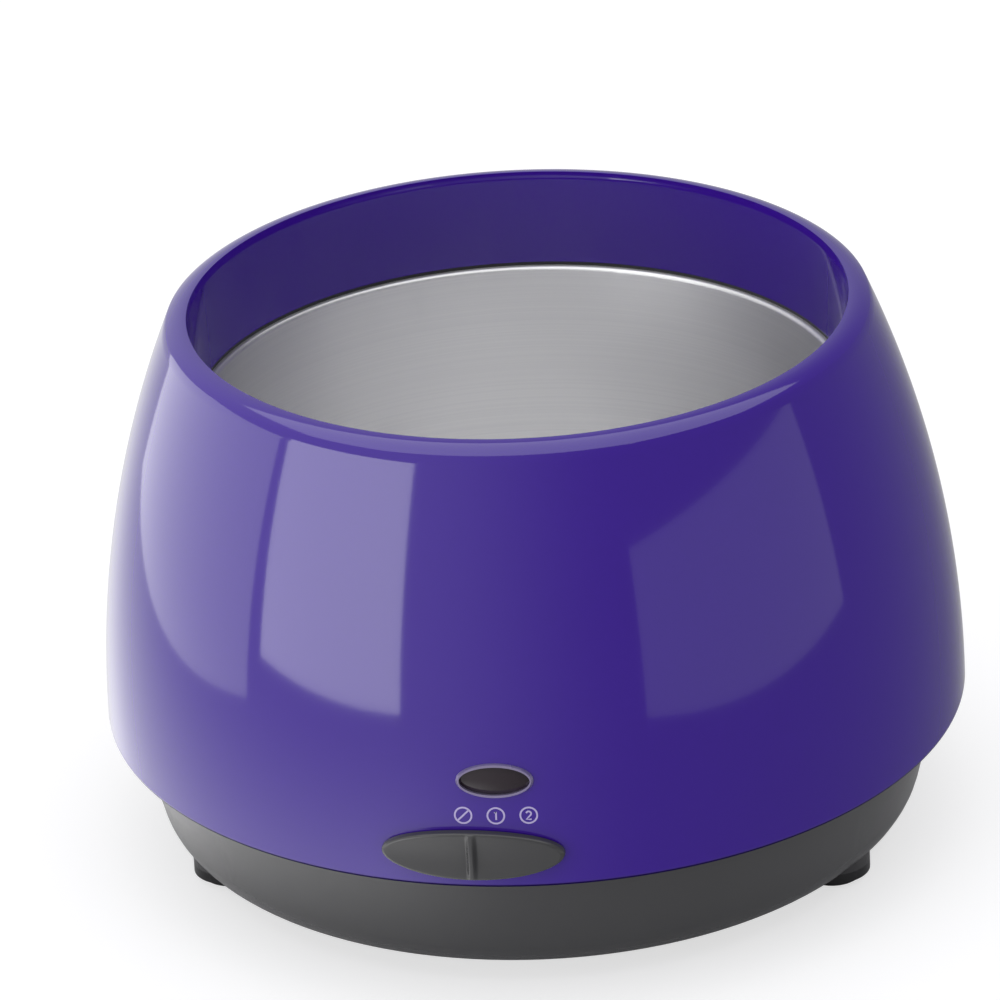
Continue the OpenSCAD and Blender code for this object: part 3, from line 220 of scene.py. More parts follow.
# Geometry Nodes that turn a profile's points round the pot's axis: a grid with one row of
# points for each step of the turn. A closed profile repeats its start.
def lathe():
    tree = bpy.data.node_groups.new("lathe", "GeometryNodeTree")
    tree.interface.new_socket("Profile", in_out="INPUT", socket_type="NodeSocketGeometry")
    tree.interface.new_socket("Segments", in_out="INPUT", socket_type="NodeSocketInt").default_value = lathe_steps
    tree.interface.new_socket("Finish", in_out="INPUT", socket_type="NodeSocketMaterial")
    tree.interface.new_socket("Turned", in_out="OUTPUT", socket_type="NodeSocketGeometry")
    nodes, links = tree.nodes, tree.links
    start, end = nodes.new("NodeGroupInput"), nodes.new("NodeGroupOutput")
    size, grid = nodes.new("GeometryNodeAttributeDomainSize"), nodes.new("GeometryNodeMeshGrid")
    index = nodes.new("GeometryNodeInputIndex").outputs[0]
    links.new(start.outputs["Profile"], size.inputs["Geometry"])
    count = size.outputs["Point Count"]
    links.new(reckon(tree, "ADD", start.outputs["Segments"], 1), grid.inputs["Vertices X"])
    links.new(count, grid.inputs["Vertices Y"])
    row = reckon(tree, "FLOOR", reckon(tree, "DIVIDE", reckon(tree, "ADD", index, 0.5), count))
    column = reckon(tree, "SUBTRACT", index, reckon(tree, "MULTIPLY", row, count))
    where, sample = nodes.new("GeometryNodeInputPosition"), nodes.new("GeometryNodeSampleIndex")
    split, place = nodes.new("ShaderNodeSeparateXYZ"), nodes.new("ShaderNodeCombineXYZ")
    sample.data_type = "FLOAT_VECTOR"
    links.new(start.outputs["Profile"], sample.inputs["Geometry"])
    links.new(where.outputs[0], sample.inputs["Value"])
    links.new(column, sample.inputs["Index"])
    links.new(sample.outputs["Value"], split.inputs[0])
    turn = reckon(tree, "DIVIDE", reckon(tree, "MULTIPLY", row, 2 * math.pi), start.outputs["Segments"])
    for axis, share in (("X", reckon(tree, "COSINE", turn)), ("Y", reckon(tree, "SINE", turn))):
        links.new(reckon(tree, "MULTIPLY", split.outputs["X"], share), place.inputs[axis])
    links.new(split.outputs["Z"], place.inputs["Z"])
    moved, merged = nodes.new("GeometryNodeSetPosition"), nodes.new("GeometryNodeMergeByDistance")
    real, finish = nodes.new("GeometryNodeRealizeInstances"), nodes.new("GeometryNodeSetMaterial")
    links.new(grid.outputs["Mesh"], moved.inputs["Geometry"])
    links.new(place.outputs[0], moved.inputs["Position"])
    merged.inputs["Distance"].default_value = 1e-6
    links.new(moved.outputs[0], merged.inputs["Geometry"])
    links.new(merged.outputs[0], real.inputs[0])
    links.new(real.outputs[0], finish.inputs["Geometry"])
    links.new(start.outputs["Finish"], finish.inputs["Material"])
    links.new(finish.outputs[0], end.inputs["Turned"])
    return tree


# Shades all but the sharp edges smooth.
def soft_shade(mesh, sharp=30):
    mesh.shade_smooth()
    mesh.set_sharp_from_angle(angle=math.radians(sharp))


# Closes seams and poles, turns the normals outwards and shades the piece.
def smooth(piece, sharp=30):
    tidy = bmesh.new()
    tidy.from_mesh(piece.data)
    bmesh.ops.remove_doubles(tidy, verts=tidy.verts, dist=1e-7)
    bmesh.ops.recalc_face_normals(tidy, faces=tidy.faces)
    tidy.to_mesh(piece.data)
    tidy.free()
    soft_shade(piece.data, sharp)
    return piece


# A piece from its own vertices and faces.
def finished(name, verts, faces, sharp=30):
    mesh = bpy.data.meshes.new(name)
    mesh.from_pydata(verts, [], faces)
    piece = bpy.data.objects.new(name, mesh)
    scene.collection.objects.link(piece)
    return smooth(piece, sharp)


# Applies a piece's only modifier, so that just the mesh that it makes is kept.
def apply_only(piece, modifier):
    graph = bpy.context.evaluated_depsgraph_get()
    graph.update()
    result = bpy.data.meshes.new_from_object(piece.evaluated_get(graph))
    piece.modifiers.remove(modifier)
    old, piece.data = piece.data, result
    bpy.data.meshes.remove(old)
    result.name = piece.name


# A piece that a tree makes of a profile's points.
def made_by(tree, name, profile, **values):
    seed = bpy.data.meshes.new(name)
    seed.from_pydata([(r, 0, z) for r, z in profile], [], [])
    piece = bpy.data.objects.new(name, seed)
    scene.collection.objects.link(piece)
    rule = piece.modifiers.new("rule", "NODES")
    rule.node_group = tree
    for item in tree.interface.items_tree:
        if item.item_type == "SOCKET" and item.in_out == "INPUT" and item.name in values:
            rule[item.identifier] = values[item.name]
    apply_only(piece, rule)
    return smooth(piece)


# A fine moulding grain, and a slow unevenness of tone and gloss.
def plastic_grain():
    group = bpy.data.node_groups.new("moulded_grain", "ShaderNodeTree")
    for socket, kind, value in (("Colour", "NodeSocketColor", (0.5, 0.5, 0.5, 1)),
                                ("Roughness", "NodeSocketFloat", 0.4), ("Grain size", "NodeSocketFloat", 2500.0),
                                ("Uneven", "NodeSocketFloat", 0.06)):
        group.interface.new_socket(socket, in_out="INPUT", socket_type=kind).default_value = value
    for socket, kind in (("Colour", "NodeSocketColor"), ("Roughness", "NodeSocketFloat"),
                         ("Height", "NodeSocketFloat")):
        group.interface.new_socket(socket, in_out="OUTPUT", socket_type=kind)
    nodes, links = group.nodes, group.links
    start, end = nodes.new("NodeGroupInput"), nodes.new("NodeGroupOutput")
    where = nodes.new("ShaderNodeTexCoord")
    grain, cloud = nodes.new("ShaderNodeTexNoise"), nodes.new("ShaderNodeTexNoise")
    grain.inputs["Detail"].default_value = 3
    cloud.inputs["Scale"].default_value = 45
    cloud.inputs["Detail"].default_value = 4
    links.new(where.outputs["Object"], grain.inputs["Vector"])
    links.new(where.outputs["Object"], cloud.inputs["Vector"])
    links.new(start.outputs["Grain size"], grain.inputs["Scale"])
    centred = reckon(group, "SUBTRACT", cloud.outputs["Fac"], 0.5)
    shade = reckon(group, "MULTIPLY_ADD", centred, start.outputs["Uneven"], 1.0)
    rough = reckon(group, "MULTIPLY_ADD", centred, start.outputs["Uneven"], start.outputs["Roughness"])
    scaled = nodes.new("ShaderNodeVectorMath")
    scaled.operation = "SCALE"
    links.new(start.outputs["Colour"], scaled.inputs[0])
    links.new(shade, scaled.inputs["Scale"])
    links.new(scaled.outputs[0], end.inputs["Colour"])
    links.new(rough, end.inputs["Roughness"])
    links.new(grain.outputs["Fac"], end.inputs["Height"])
    return group


grain_group = plastic_grain()


# A material with that grain in it. Sockets of the shader are named with underscores for spaces.
def moulded(name, colour, roughness, grain=2500.0, uneven=0.06, depth=0.00002, metallic=0.0, **sockets):
    made = bpy.data.materials.new(name)
    made.use_nodes = True
    nodes, links = made.node_tree.nodes, made.node_tree.links
    shader = nodes["Principled BSDF"]
    surface = nodes.new("ShaderNodeGroup")
    surface.node_tree = grain_group
    surface.inputs["Colour"].default_value = (*colour, 1)
    surface.inputs["Roughness"].default_value = roughness
    surface.inputs["Grain size"].default_value = grain
    surface.inputs["Uneven"].default_value = uneven
    bump = nodes.new("ShaderNodeBump")
    bump.inputs["Distance"].default_value = depth
    bump.inputs["Strength"].default_value = 0.6
    links.new(surface.outputs["Colour"], shader.inputs["Base Color"])
    links.new(surface.outputs["Roughness"], shader.inputs["Roughness"])
    links.new(surface.outputs["Height"], bump.inputs["Height"])
    links.new(bump.outputs["Normal"], shader.inputs["Normal"])
    shader.inputs["Metallic"].default_value = metallic
    for socket, value in sockets.items():
        shader.inputs[socket.replace("_", " ")].default_value = value
    return made


# Gives a piece one material and no other.
def dress(obj, material):
    obj.data.materials.clear()
    obj.data.materials.append(material)


# Takes one closed piece out of another, and does away with the cutter.
def cut(piece, cutter):
    knife = piece.modifiers.new("cut", "BOOLEAN")
    knife.operation, knife.solver, knife.object = "DIFFERENCE", "EXACT", cutter
    apply_only(piece, knife)
    bpy.data.objects.remove(cutter)
    soft_shade(piece.data)


# The shell's profile: up the wall, over the rim, down the collar and back along the inside.
meet, inner_meet = where_crown_meets(0), where_crown_meets(wall)
skirt_top = seam_z + skirt_edge
outside = [(wall_r(z), z) for z in (skirt_top + (meet - skirt_top) * i / wall_steps for i in range(wall_steps + 1))]
crown_start = math.degrees(math.atan2(meet - crown_z, wall_r(meet) - crown_r))
crown = arc(crown_r, crown_z, rim_round, crown_start, 90, 16)[1:]
rim = arc(collar_top_r + rim_edge, rim_z - rim_edge, rim_edge, 90, 180, 8)
rim = [p for p in rim if p[0] < crown[-1][0] - 1e-6]
collar = [(collar_top_r - collar_step_r, rim_z - rim_edge - collar_step_z), (collar_foot_r, collar_foot_z),
          (collar_foot_r + collar_wall, collar_foot_z)]
crown_end = math.degrees(math.atan2(inner_meet - crown_z, wall_r(inner_meet, wall) - crown_r))
inner_crown = arc(crown_r, crown_z, rim_round - wall, inner_crown_start, crown_end, 10)
under_rim = [(collar_foot_r + collar_wall, inner_crown[0][1])]
inner_heights = [inner_meet + (seam_z - inner_meet) * i / inner_steps for i in range(1, inner_steps + 1)]
inside = [(wall_r(z, wall), z) for z in inner_heights]
foot = [(skirt_r - skirt_edge, seam_z)] + arc(skirt_r - skirt_edge, skirt_top, skirt_edge, -90, 0, 6)[1:]
shell_points = outside + crown + rim + collar + under_rim + inner_crown + inside + foot
# The second violet here is painted shade: a dark band on the skirt's lip that stands for the shadow in the seam below
# it.
violet, lip_painted_shade, lip_z, lip_blend = (0.043, 0.0080, 0.292), (0.010, 0.003, 0.060), 0.0309, 0.0004
full_coat, full_gloss = 0.4, 0.5
gloss_violet = moulded("violet_gloss", violet, 0.08, grain=900.0, uneven=0.03, depth=0.000004,
                       Specular_IOR_Level=full_gloss, Coat_Weight=full_coat, Coat_Roughness=0.04)


# Gives a moulded material another colour under a height. What it returns is 0 under that
# height and 1 over it.
def other_colour_below(material, height, blend, colour_low, colour_high):
    nodes, links = material.node_tree.nodes, material.node_tree.links
    surface = next(node for node in nodes if node.type == "GROUP")
    where, split = nodes.new("ShaderNodeTexCoord"), nodes.new("ShaderNodeSeparateXYZ")
    above, shade = nodes.new("ShaderNodeMapRange"), nodes.new("ShaderNodeMix")
    above.inputs["From Min"].default_value, above.inputs["From Max"].default_value = height, height + blend
    shade.data_type = "RGBA"
    shade.inputs["A"].default_value, shade.inputs["B"].default_value = (*colour_low, 1), (*colour_high, 1)
    links.new(where.outputs["Object"], split.inputs[0])
    links.new(split.outputs["Z"], above.inputs["Value"])
    links.new(above.outputs[0], shade.inputs["Factor"])
    links.new(shade.outputs["Result"], surface.inputs["Colour"])
    return above.outputs[0]


# Painted shade: below a height, the skirt's lip is painted dark and its coat and gloss are turned down. This stands
# for the shadow in the seam under the skirt.
above_painted_shade = other_colour_below(gloss_violet, lip_z, lip_blend, lip_painted_shade, violet)
violet_tree = gloss_violet.node_tree
for socket, full in (("Coat Weight", full_coat), ("Specular IOR Level", full_gloss)):
    violet_tree.links.new(reckon(violet_tree, "MULTIPLY", above_painted_shade, full),
                          violet_tree.nodes["Principled BSDF"].inputs[socket])
lathe_tree = lathe()
shell = made_by(lathe_tree, "housing_shell", shell_points + shell_points[:1], Segments=lathe_steps,
                Finish=gloss_violet)

# The wall's two openings: the oval hole for the lamp window's neck, and the slot for the knob's
# tongue, which follows the wall round.
knob_z, window_z = 0.0383, 0.0545
neck_w, neck_h, cut_near, cut_far = 0.0153, 0.0069, 0.08, 0.1
slot_angle, slot_half_h, slot_near = math.radians(5.317), 0.0026, 0.085


def oval_prism(name, width, height, near, far, z, steps=96):
    turns = [2 * math.pi * i / steps for i in range(steps)]
    verts = [(width / 2 * math.cos(a), -depth, z + height / 2 * math.sin(a)) for depth in (near, far) for a in turns]
    faces = [tuple(range(steps)), tuple(range(2 * steps - 1, steps - 1, -1))]
    faces += [(i, steps + i, steps + (i + 1) % steps, (i + 1) % steps) for i in range(steps)]
    return finished(name, verts, faces)


def slot_prism(name, half_angle, half_height, near, far, z, steps=8):
    row = steps + 1
    verts = [(r * math.sin(a), -r * math.cos(a), z + side) for side in (-half_height, half_height)
             for r in (near, far) for a in np.linspace(-half_angle, half_angle, row)]
    faces = []
    for k in range(steps):
        faces += [(k, k + 1, k + 1 + row, k + row), (k + 2 * row, k + 3 * row, k + 1 + 3 * row, k + 1 + 2 * row),
                  (k, k + 2 * row, k + 1 + 2 * row, k + 1), (k + row, k + 1 + row, k + 1 + 3 * row, k + 3 * row)]
    faces += [(0, row, 3 * row, 2 * row), (row - 1, 3 * row - 1, 4 * row - 1, 2 * row - 1)]
    return finished(name, verts, faces)


cut(shell, oval_prism("neck_hole", neck_w, neck_h, cut_near, cut_far, window_z))
cut(shell, slot_prism("slot_cutter", slot_angle, slot_half_h, slot_near, cut_far, knob_z))
dress(shell, gloss_violet)
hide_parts("housing")
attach(shell, "pot")


# ---- Printed settings
# Three small marks over the selector, printed on the wall in pale lilac: a struck circle for
# off, and the numbers of the two heats in circles.
mark_z, mark_step, mark_ring, mark_line, mark_lift = 0.0468, 4.18, 0.00172, 0.00036, 0.00004


# A flat band of one width along a line of points.
def stroke(points, width):
    verts, path = [], [Vector(p) for p in points]
    for i, p in enumerate(path):
        along = (path[min(i + 1, len(path) - 1)] - path[max(i - 1, 0)]).normalized()
        side = Vector((-along.y, along.x)) * width / 2
        verts += [p + side, p - side]
    faces = [(2 * i, 2 * i + 1, 2 * i + 3, 2 * i + 2) for i in range(len(path) - 1)]
    return verts, faces


# The points of a circle, or of a part of it.
def circle_points(x, y, r, start=0, end=360, steps=40):
    turns = [math.radians(start + (end - start) * i / steps) for i in range(steps + 1)]
    return [(x + r * math.cos(t), y + r * math.sin(t)) for t in turns]


# A straight line in short pieces, so that it can follow the wall.
def line_points(start, end, steps=8):
    return [tuple(a + (b - a) * i / steps for a, b in zip(start, end)) for i in range(steps + 1)]


# Bends a flat point round the wall, at an angle in degrees and lifted off the surface.
def on_the_wall(flat, angle, lift):
    z = mark_z + flat[1]
    r = wall_r(z) + lift
    turn = math.radians(angle) + flat[0] / r
    return (r * math.sin(turn), -r * math.cos(turn), z)


digit_one = [(-0.0003, 0.0006), (0.00005, 0.0009), (0.00005, -0.0009)]
digit_two = circle_points(0, 0.00036, 0.0005, 165, -35, 12) + [(-0.0005, -0.0009), (0.00055, -0.0009)]
bar = mark_ring * math.cos(math.radians(45))
marks = {"mark_off": (-mark_step, [circle_points(0, 0, mark_ring), line_points((-bar, -bar), (bar, bar))]),
         "mark_one": (0, [circle_points(0, 0, mark_ring), digit_one]),
         "mark_two": (mark_step, [circle_points(0, 0, mark_ring), digit_two])}
mark_ink = moulded("lilac_print", (0.52, 0.45, 0.74), 0.45, grain=4000.0, uneven=0.08)
for name, (angle, lines) in marks.items():
    verts, faces = [], []
    for line in lines:
        line_verts, line_faces = stroke(line, mark_line)
        faces += [tuple(len(verts) + i for i in face) for face in line_faces]
        verts += line_verts
    count = len(verts)
    solid = [on_the_wall(p, angle, lift) for lift in (mark_lift, -mark_lift) for p in verts]
    edges = dict.fromkeys(pair for face in faces for pair in zip(face, face[1:] + face[:1]))
    solid_faces = faces + [tuple(count + i for i in reversed(face)) for face in faces]
    solid_faces += [(b, a, count + a, count + b) for a, b in edges if (b, a) not in edges]
    mark = finished(name, solid, solid_faces)
    dress(mark, mark_ink)
    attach(mark, "pot")


# ---- Heating well
# Spun aluminium bowl with a satin inside: a straight wall, a round corner and a flat floor,
# and a narrow flange that shows inside the collar.
well_r, well_floor, well_corner, well_wall, flange_z, flange_round = 0.0679, 0.038, 0.012, 0.0012, 0.0989, 0.0009
flange_w = 0.0047
flange_r = collar_foot_r + flange_w
bowl_in = [(0.0, well_floor)] + arc(well_r - well_corner, well_floor + well_corner, well_corner, -90, 0, 24)
bowl_in += arc(well_r + flange_round, flange_z - flange_round, flange_round, 180, 90, 8)
bowl_out = [(flange_r, flange_z), (flange_r, flange_z - well_wall), (well_r + well_wall, flange_z - well_wall)]
bowl_out += arc(well_r - well_corner, well_floor + well_corner, well_corner + well_wall, 0, -90, 24)
bowl_out.append((0.0, well_floor - well_wall))
spun = bpy.data.materials.new("satin_aluminium")
spun.use_nodes = True
nodes, links = spun.node_tree.nodes, spun.node_tree.links
shader = nodes["Principled BSDF"]
where, split = nodes.new("ShaderNodeTexCoord"), nodes.new("ShaderNodeSeparateXYZ")
radial, flatten = nodes.new("ShaderNodeVectorMath"), nodes.new("ShaderNodeCombineXYZ")
links.new(where.outputs["Object"], split.inputs[0])
links.new(split.outputs["X"], flatten.inputs["X"])
links.new(split.outputs["Y"], flatten.inputs["Y"])
radial.operation = "LENGTH"
links.new(flatten.outputs[0], radial.inputs[0])
turned_at = nodes.new("ShaderNodeCombineXYZ")
links.new(radial.outputs["Value"], turned_at.inputs["X"])
links.new(split.outputs["Z"], turned_at.inputs["Y"])
lines, cloud = nodes.new("ShaderNodeTexNoise"), nodes.new("ShaderNodeTexNoise")
lines.inputs["Scale"].default_value = 2600
lines.inputs["Detail"].default_value = 4
cloud.inputs["Scale"].default_value = 60
cloud.inputs["Detail"].default_value = 5
links.new(turned_at.outputs[0], lines.inputs["Vector"])
links.new(where.outputs["Object"], cloud.inputs["Vector"])
rough = nodes.new("ShaderNodeMapRange")
rough.inputs["To Min"].default_value = 0.34
rough.inputs["To Max"].default_value = 0.46
links.new(cloud.outputs["Fac"], rough.inputs["Value"])
links.new(rough.outputs[0], shader.inputs["Roughness"])
tone = nodes.new("ShaderNodeValToRGB")
tone.color_ramp.elements[0].color = (0.77, 0.77, 0.78, 1)
tone.color_ramp.elements[1].color = (0.89, 0.89, 0.88, 1)
links.new(lines.outputs["Fac"], tone.inputs["Fac"])
links.new(tone.outputs["Color"], shader.inputs["Base Color"])
bump = nodes.new("ShaderNodeBump")
bump.inputs["Distance"].default_value = 0.00001
bump.inputs["Strength"].default_value = 0.5
links.new(lines.outputs["Fac"], bump.inputs["Height"])
links.new(bump.outputs["Normal"], shader.inputs["Normal"])
shader.inputs["Metallic"].default_value = 1.0

# The gloss is drawn out across the turned lines, which run round the axis.
along = nodes.new("ShaderNodeVectorMath")
along.operation = "CROSS_PRODUCT"
along.inputs[0].default_value = (0, 0, 1)
links.new(where.outputs["Object"], along.inputs[1])
links.new(along.outputs[0], shader.inputs["Tangent"])
shader.inputs["Anisotropic"].default_value = 0.7
shader.inputs["Anisotropic Rotation"].default_value = 0.25
bowl = made_by(lathe_tree, "well_bowl", bowl_in + bowl_out, Segments=lathe_steps, Finish=spun)
dress(bowl, spun)
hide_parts("heating_well")
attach(bowl, "pot")


# ---- Base pan and selector knob
# Satin mid-grey moulded plastic. The pan closes the pot from below and stands on its feet;
# the oval knob slides along the wall, with a scoop on either side of its grip ridge.
grey, boot_black, boot_z, boot_blend = (0.057, 0.057, 0.059), (0.018, 0.018, 0.019), 0.00392, 0.00005
satin_grey = moulded("satin_grey_plastic", grey, 0.25, grain=3200.0, uneven=0.10, depth=0.00002)


# A CAD piece's own shape with its facets shaded smooth. The normals that it was imported with
# fit the mesh only until its doubles are merged, so they are left out.
def smoothed(node, name, sharp=28):
    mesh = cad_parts[node].data.copy()
    mesh.name = name
    mesh.attributes.remove(mesh.attributes["custom_normal"])
    tidy = bmesh.new()
    tidy.from_mesh(mesh)
    bmesh.ops.remove_doubles(tidy, verts=tidy.verts, dist=1e-6)
    tidy.to_mesh(mesh)
    tidy.free()
    soft_shade(mesh, sharp)
    piece = bpy.data.objects.new(name, mesh)
    scene.collection.objects.link(piece)
    return piece


pan_top_r, pan_foot, pan_corner, pan_lean = 0.0872, 0.004, 0.010, math.radians(13.9)
pan_c_z = pan_foot + pan_corner
pan_c_r = pan_top_r - pan_corner / math.cos(pan_lean) - (seam_z - pan_c_z) * math.tan(pan_lean)


# The pan's shape by rule: a flat bottom, a rounded corner and a leaning flank.
def pan_normal(x, y, z):
    r = math.hypot(x, y)
    if r < pan_c_r:
        out, up = 0.0, -1.0
    elif z < pan_c_z - pan_corner * math.sin(pan_lean):
        far = math.hypot(r - pan_c_r, z - pan_c_z)
        out, up = (r - pan_c_r) / far, (z - pan_c_z) / far
    else:
        out, up = math.cos(pan_lean), -math.sin(pan_lean)
    return Vector((out * x / r, out * y / r, up)) if r > 1e-6 else Vector((0.0, 0.0, up))


# Gives the faces that lie within so many degrees of a rule its exact normals.
def shade_by_rule(mesh, rule, within=6):
    normals = [Vector(corner.vector) for corner in mesh.corner_normals]
    for face in mesh.polygons:
        if face.normal.dot(rule(*face.center)) > math.cos(math.radians(within)):
            for corner in face.loop_indices:
                normals[corner] = rule(*mesh.vertices[mesh.loops[corner].vertex_index].co)
    mesh.normals_split_custom_set(normals)


# The bosses that hold the feet are covered in black rubber below the pan's floor.
booted_grey = satin_grey.copy()
booted_grey.name = "satin_grey_with_black_bosses"
other_colour_below(booted_grey, boot_z, boot_blend, boot_black, grey)
pan = smoothed("base_pan", "base_pan_moulding")
shade_by_rule(pan.data, pan_normal)
dress(pan, booted_grey)
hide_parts("base_pan")
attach(pan, "pot")

knob_w, knob_h, knob_proud, knob_gap, knob_edge, off_turn = 0.0379, 0.0108, 0.0026, 0.0003, 0.0008, math.radians(-3.2)
scoop_depth, scoop_round, scoop_sweep, ridge_w, ridge_soft = 0.0013, 0.018, 0.140, 0.0015, 0.00045
dome_round, dome_half_w = 0.030, knob_w * 1.2
tongue_w, tongue_h, tongue_in, shoe_half_h, shoe_gap = 0.006, 0.0044, 0.002, 0.0041, 0.0004
column_steps, row_steps = 60, 24


# How far the knob's face stands out at a point: a dome with two scoops, a soft ridge between
# them and a rounded edge.
def knob_front(x, z):
    wall_here = wall_r(knob_z)
    falls = dome_round * math.sqrt(1 - (x / dome_half_w) ** 2 - (z / dome_round) ** 2)
    dome = wall_here + knob_proud - dome_round + falls
    sweep = scoop_sweep + scoop_round - math.sqrt(scoop_round ** 2 - z ** 2)
    scoop = math.sqrt(sweep ** 2 - x ** 2) - scoop_sweep + wall_here + knob_proud - scoop_depth
    beside = min(max((abs(x) - ridge_w / 2 + ridge_soft) / (2 * ridge_soft), 0), 1)
    face = dome + (min(dome, scoop) - dome) * beside * beside * (3 - 2 * beside)
    ratio = math.hypot(2 * x / knob_w, 2 * z / knob_h)
    if ratio > 0.5:
        slope = math.hypot(4 * x / knob_w ** 2, 4 * z / knob_h ** 2) / ratio
        from_edge = min(max((1 - ratio) / slope, 0), knob_edge)
        face -= knob_edge - math.sqrt(knob_edge ** 2 - (knob_edge - from_edge) ** 2)
    return face


# A grid over the knob's oval, at its front and its back, and the tongue that reaches through
# the slot; all of it is turned to the off position.
columns = [knob_w / 2 * math.sin(math.pi / 2 * i / column_steps) for i in range(column_steps + 1)]
columns = sorted({round(x, 8) for x in columns + [ridge_w / 2 + ridge_soft * k / 4 for k in range(-5, 6)]})
columns = [-x for x in columns[:0:-1]] + columns
rows = [math.sin(math.pi / 2 * i / row_steps) for i in range(-row_steps, row_steps + 1)]
verts, faces = [], []
for x in columns:
    reach = knob_h / 2 * math.sqrt(max(1 - (2 * x / knob_w) ** 2, 0))
    line = [(x, row * reach) for row in rows]
    verts += [(x, -knob_front(x, z), knob_z + z) for x, z in line]
    verts += [(x, -math.sqrt((wall_r(knob_z + z) + knob_gap) ** 2 - x ** 2), knob_z + z) for x, z in line]
tall = len(rows)
for i in range(len(columns) - 1):
    here, there = 2 * tall * i, 2 * tall * (i + 1)
    for k in range(tall - 1):
        faces.append((here + k, there + k, there + k + 1, here + k + 1))
        faces.append((here + tall + k, here + tall + k + 1, there + tall + k + 1, there + tall + k))
    for k in (0, tall - 1):
        faces.append((here + k, here + tall + k, there + tall + k, there + k))
base = len(verts)
shoe_r = wall_r(knob_z + shoe_half_h) - wall - shoe_gap
for y in (-(shoe_r - tongue_in), -(wall_r(knob_z) + 2 * knob_gap)):
    verts += [(x, y, knob_z + z) for x, z in ((-tongue_w / 2, -tongue_h / 2), (tongue_w / 2, -tongue_h / 2),
                                              (tongue_w / 2, tongue_h / 2), (-tongue_w / 2, tongue_h / 2))]
box_faces = ((0, 1, 2, 3), (7, 6, 5, 4), (0, 4, 5, 1), (1, 5, 6, 2), (2, 6, 7, 3), (3, 7, 4, 0))
faces += [tuple(base + i for i in face) for face in box_faces]
off_cos, off_sin = math.cos(off_turn), math.sin(off_turn)
turned_verts = [(x * off_cos - y * off_sin, x * off_sin + y * off_cos, z) for x, y, z in verts]
knob = finished("selector_knob_moulding", turned_verts, faces, sharp=50)
dress(knob, satin_grey)
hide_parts("selector_knob")
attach(knob, "selector")


# ---- Lamp window
# A silvery lilac satin ring holds a dark tinted lens with a low dome; a neon lamp sits behind.
ring = smoothed("indicator_bezel", "bezel_ring")
dress(ring, moulded("lilac_silver", (0.30, 0.26, 0.42), 0.28, grain=3000.0, uneven=0.06, metallic=0.55))
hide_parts("indicator_bezel")
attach(ring, "pot")
window = smoothed("indicator_lens", "lens_dome")
dress(window, moulded("smoked_lens", (0.022, 0.014, 0.020), 0.12, grain=500.0, uneven=0.03, depth=0.000004))
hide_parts("indicator_lens")
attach(window, "pot")


# Dresses CAD pieces that show with their own mesh.
def dress_nodes(material, *names):
    for name in names:
        dress(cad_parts[name], material)


neon = moulded("neon_glass", (0.85, 0.42, 0.18), 0.08, grain=400.0, uneven=0.05, depth=0.000002)
dress_nodes(neon, "indicator_lamp")


# ---- Feet and gland
# Matt black rubber: three pads pressed into the pan's bosses, and the grommet round the
# cord's hole at the back.
black_rubber = moulded("black_rubber", boot_black, 0.7, grain=4500.0, uneven=0.12, depth=0.00004)
dress_nodes(black_rubber, "cord_gland")
pad_steps = 72
pad_r, pad_round, pad_h, foot_ring_r, foot_side = 0.0065, 0.0014, 0.0038, 0.0715, 64.75


# One rounded pad, set at both front angles and at the back.
def set_feet():
    tree = bpy.data.node_groups.new("set_feet", "GeometryNodeTree")
    tree.interface.new_socket("Profile", in_out="INPUT", socket_type="NodeSocketGeometry")
    for socket, value in (("Ring radius", 0.07), ("Side angle", 1.0)):
        tree.interface.new_socket(socket, in_out="INPUT", socket_type="NodeSocketFloat").default_value = value
    tree.interface.new_socket("Finish", in_out="INPUT", socket_type="NodeSocketMaterial")
    tree.interface.new_socket("Feet", in_out="OUTPUT", socket_type="NodeSocketGeometry")
    nodes, links = tree.nodes, tree.links
    start, end, pad = nodes.new("NodeGroupInput"), nodes.new("NodeGroupOutput"), nodes.new("GeometryNodeGroup")
    pad.node_tree = lathe_tree
    pad.inputs["Segments"].default_value = pad_steps
    links.new(start.outputs["Profile"], pad.inputs["Profile"])
    spots, place = nodes.new("GeometryNodePoints"), nodes.new("ShaderNodeCombineXYZ")
    index = nodes.new("GeometryNodeInputIndex").outputs[0]
    spots.inputs["Count"].default_value = 3
    side = reckon(tree, "SUBTRACT", index, 1)
    behind = reckon(tree, "SUBTRACT", 1, reckon(tree, "ABSOLUTE", side))
    turn = reckon(tree, "ADD", reckon(tree, "MULTIPLY", side, start.outputs["Side angle"]),
                  reckon(tree, "MULTIPLY", behind, math.pi))
    across = reckon(tree, "MULTIPLY", reckon(tree, "SINE", turn), start.outputs["Ring radius"])
    back = reckon(tree, "MULTIPLY", reckon(tree, "COSINE", turn), start.outputs["Ring radius"])
    links.new(across, place.inputs["X"])
    links.new(reckon(tree, "MULTIPLY", back, -1), place.inputs["Y"])
    links.new(place.outputs[0], spots.inputs["Position"])
    copies, real = nodes.new("GeometryNodeInstanceOnPoints"), nodes.new("GeometryNodeRealizeInstances")
    finish = nodes.new("GeometryNodeSetMaterial")
    links.new(spots.outputs[0], copies.inputs["Points"])
    links.new(pad.outputs[0], copies.inputs["Instance"])
    links.new(copies.outputs[0], real.inputs[0])
    links.new(real.outputs[0], finish.inputs["Geometry"])
    links.new(start.outputs["Finish"], finish.inputs["Material"])
    links.new(finish.outputs[0], end.inputs["Feet"])
    return tree


pad_points = [(0, 0)] + arc(pad_r - pad_round, pad_round, pad_round, -90, 0, 9) + [(pad_r, pad_h), (0, pad_h)]
pads = made_by(set_feet(), "foot_pads", pad_points,
               **{"Ring radius": foot_ring_r, "Side angle": math.radians(foot_side), "Finish": black_rubber})
dress(pads, black_rubber)
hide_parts("feet")
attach(pads, "pot")


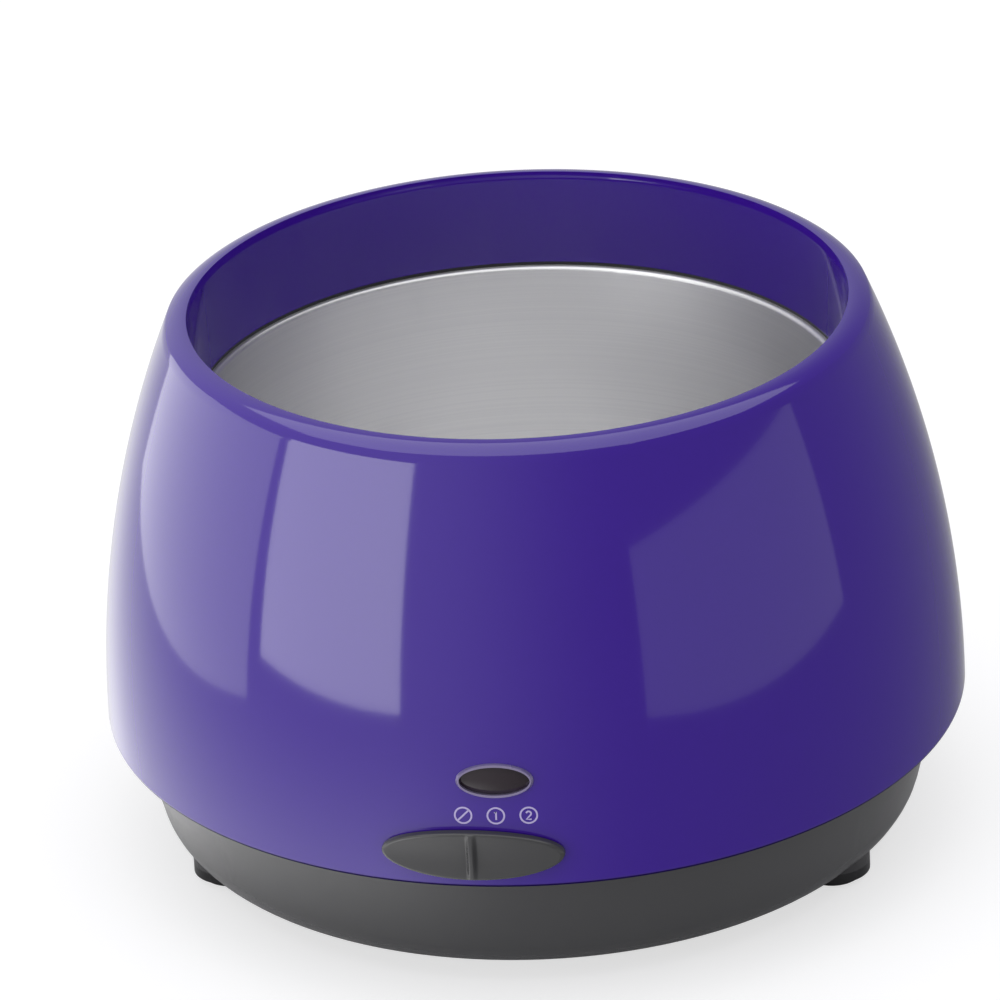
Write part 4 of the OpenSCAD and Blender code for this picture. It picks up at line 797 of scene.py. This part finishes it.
# ---- Heater
# A flat resistance ribbon between two mica plates, pressed to the well by a steel plate, over
# an aluminium heat shield.
bright_steel = moulded("zinc_steel", (0.56, 0.57, 0.59), 0.3, grain=2200.0, uneven=0.14, depth=0.00001, metallic=1.0)
sheet_metal = moulded("mill_aluminium", (0.74, 0.74, 0.75), 0.36, grain=1500.0, uneven=0.16, depth=0.00001,
                      metallic=1.0)
mica_board = moulded("mica_board", (0.55, 0.46, 0.31), 0.55, grain=700.0, uneven=0.35, depth=0.00005)
resistance = moulded("resistance_ribbon", (0.30, 0.28, 0.26), 0.42, grain=2000.0, uneven=0.2, depth=0.00001,
                     metallic=1.0)
dress_nodes(bright_steel, "clamp_plate", "clamp_nuts", "well_studs", "shield_nuts", "well_screws")
dress_nodes(sheet_metal, "heat_shield", "shield_spacers")
dress_nodes(mica_board, "upper_mica", "lower_mica")
dress_nodes(resistance, "heater_ribbon")


# ---- Thermostat and fuse
# A bimetal thermostat with a phenolic body and an aluminium cap, strapped to the well, and a
# one-shot thermal fuse under its clip.
brass = moulded("bright_brass", (0.72, 0.53, 0.22), 0.28, grain=2200.0, uneven=0.14, depth=0.00001, metallic=1.0)
phenolic = moulded("black_phenolic", (0.028, 0.024, 0.022), 0.5, grain=1800.0, uneven=0.15, depth=0.00003)
dress_nodes(phenolic, "thermostat_body")
dress_nodes(sheet_metal, "thermostat_cap", "thermal_fuse", "fuse_clip")
dress_nodes(brass, "thermostat_tabs", "heater_terminals")
dress_nodes(bright_steel, "thermostat_strap", "strap_screws")


# ---- Selector switch
# A three-position slide switch: a folded steel frame, a brown laminate wafer with brass
# contacts, and a black slider that the knob's carriage moves.
laminate = moulded("brown_laminate", (0.23, 0.11, 0.045), 0.55, grain=900.0, uneven=0.25, depth=0.00003)
black_acetal = moulded("black_acetal", (0.02, 0.02, 0.021), 0.38, grain=2600.0, uneven=0.08, depth=0.00001)
dress_nodes(bright_steel, "switch_frame", "switch_screws", "detent_spring", "selector_screw")
dress_nodes(laminate, "switch_wafer")
dress_nodes(brass, "switch_terminals", "moving_contact")
dress_nodes(black_acetal, "switch_actuator", "selector_carriage")


# ---- Wiring and fasteners
# White silicone-jacketed leads, an off-white terminal block and the pan's screws; a silicone
# ring seals the collar on the well's flange.
jacket = moulded("silicone_jacket", (0.78, 0.77, 0.74), 0.5, grain=2000.0, uneven=0.1, depth=0.00002)
nylon = moulded("offwhite_nylon", (0.72, 0.70, 0.62), 0.45, grain=1800.0, uneven=0.1, depth=0.00002)
seal = moulded("black_silicone", (0.022, 0.022, 0.024), 0.6, grain=2500.0, uneven=0.1, depth=0.00003)
dress_nodes(jacket, "lead_wires")
dress_nodes(nylon, "terminal_block", "lamp_holder")
dress_nodes(seal, "well_seal")
dress_nodes(brass, "terminal_screws")
dress_nodes(bright_steel, "block_screw", "base_screws")
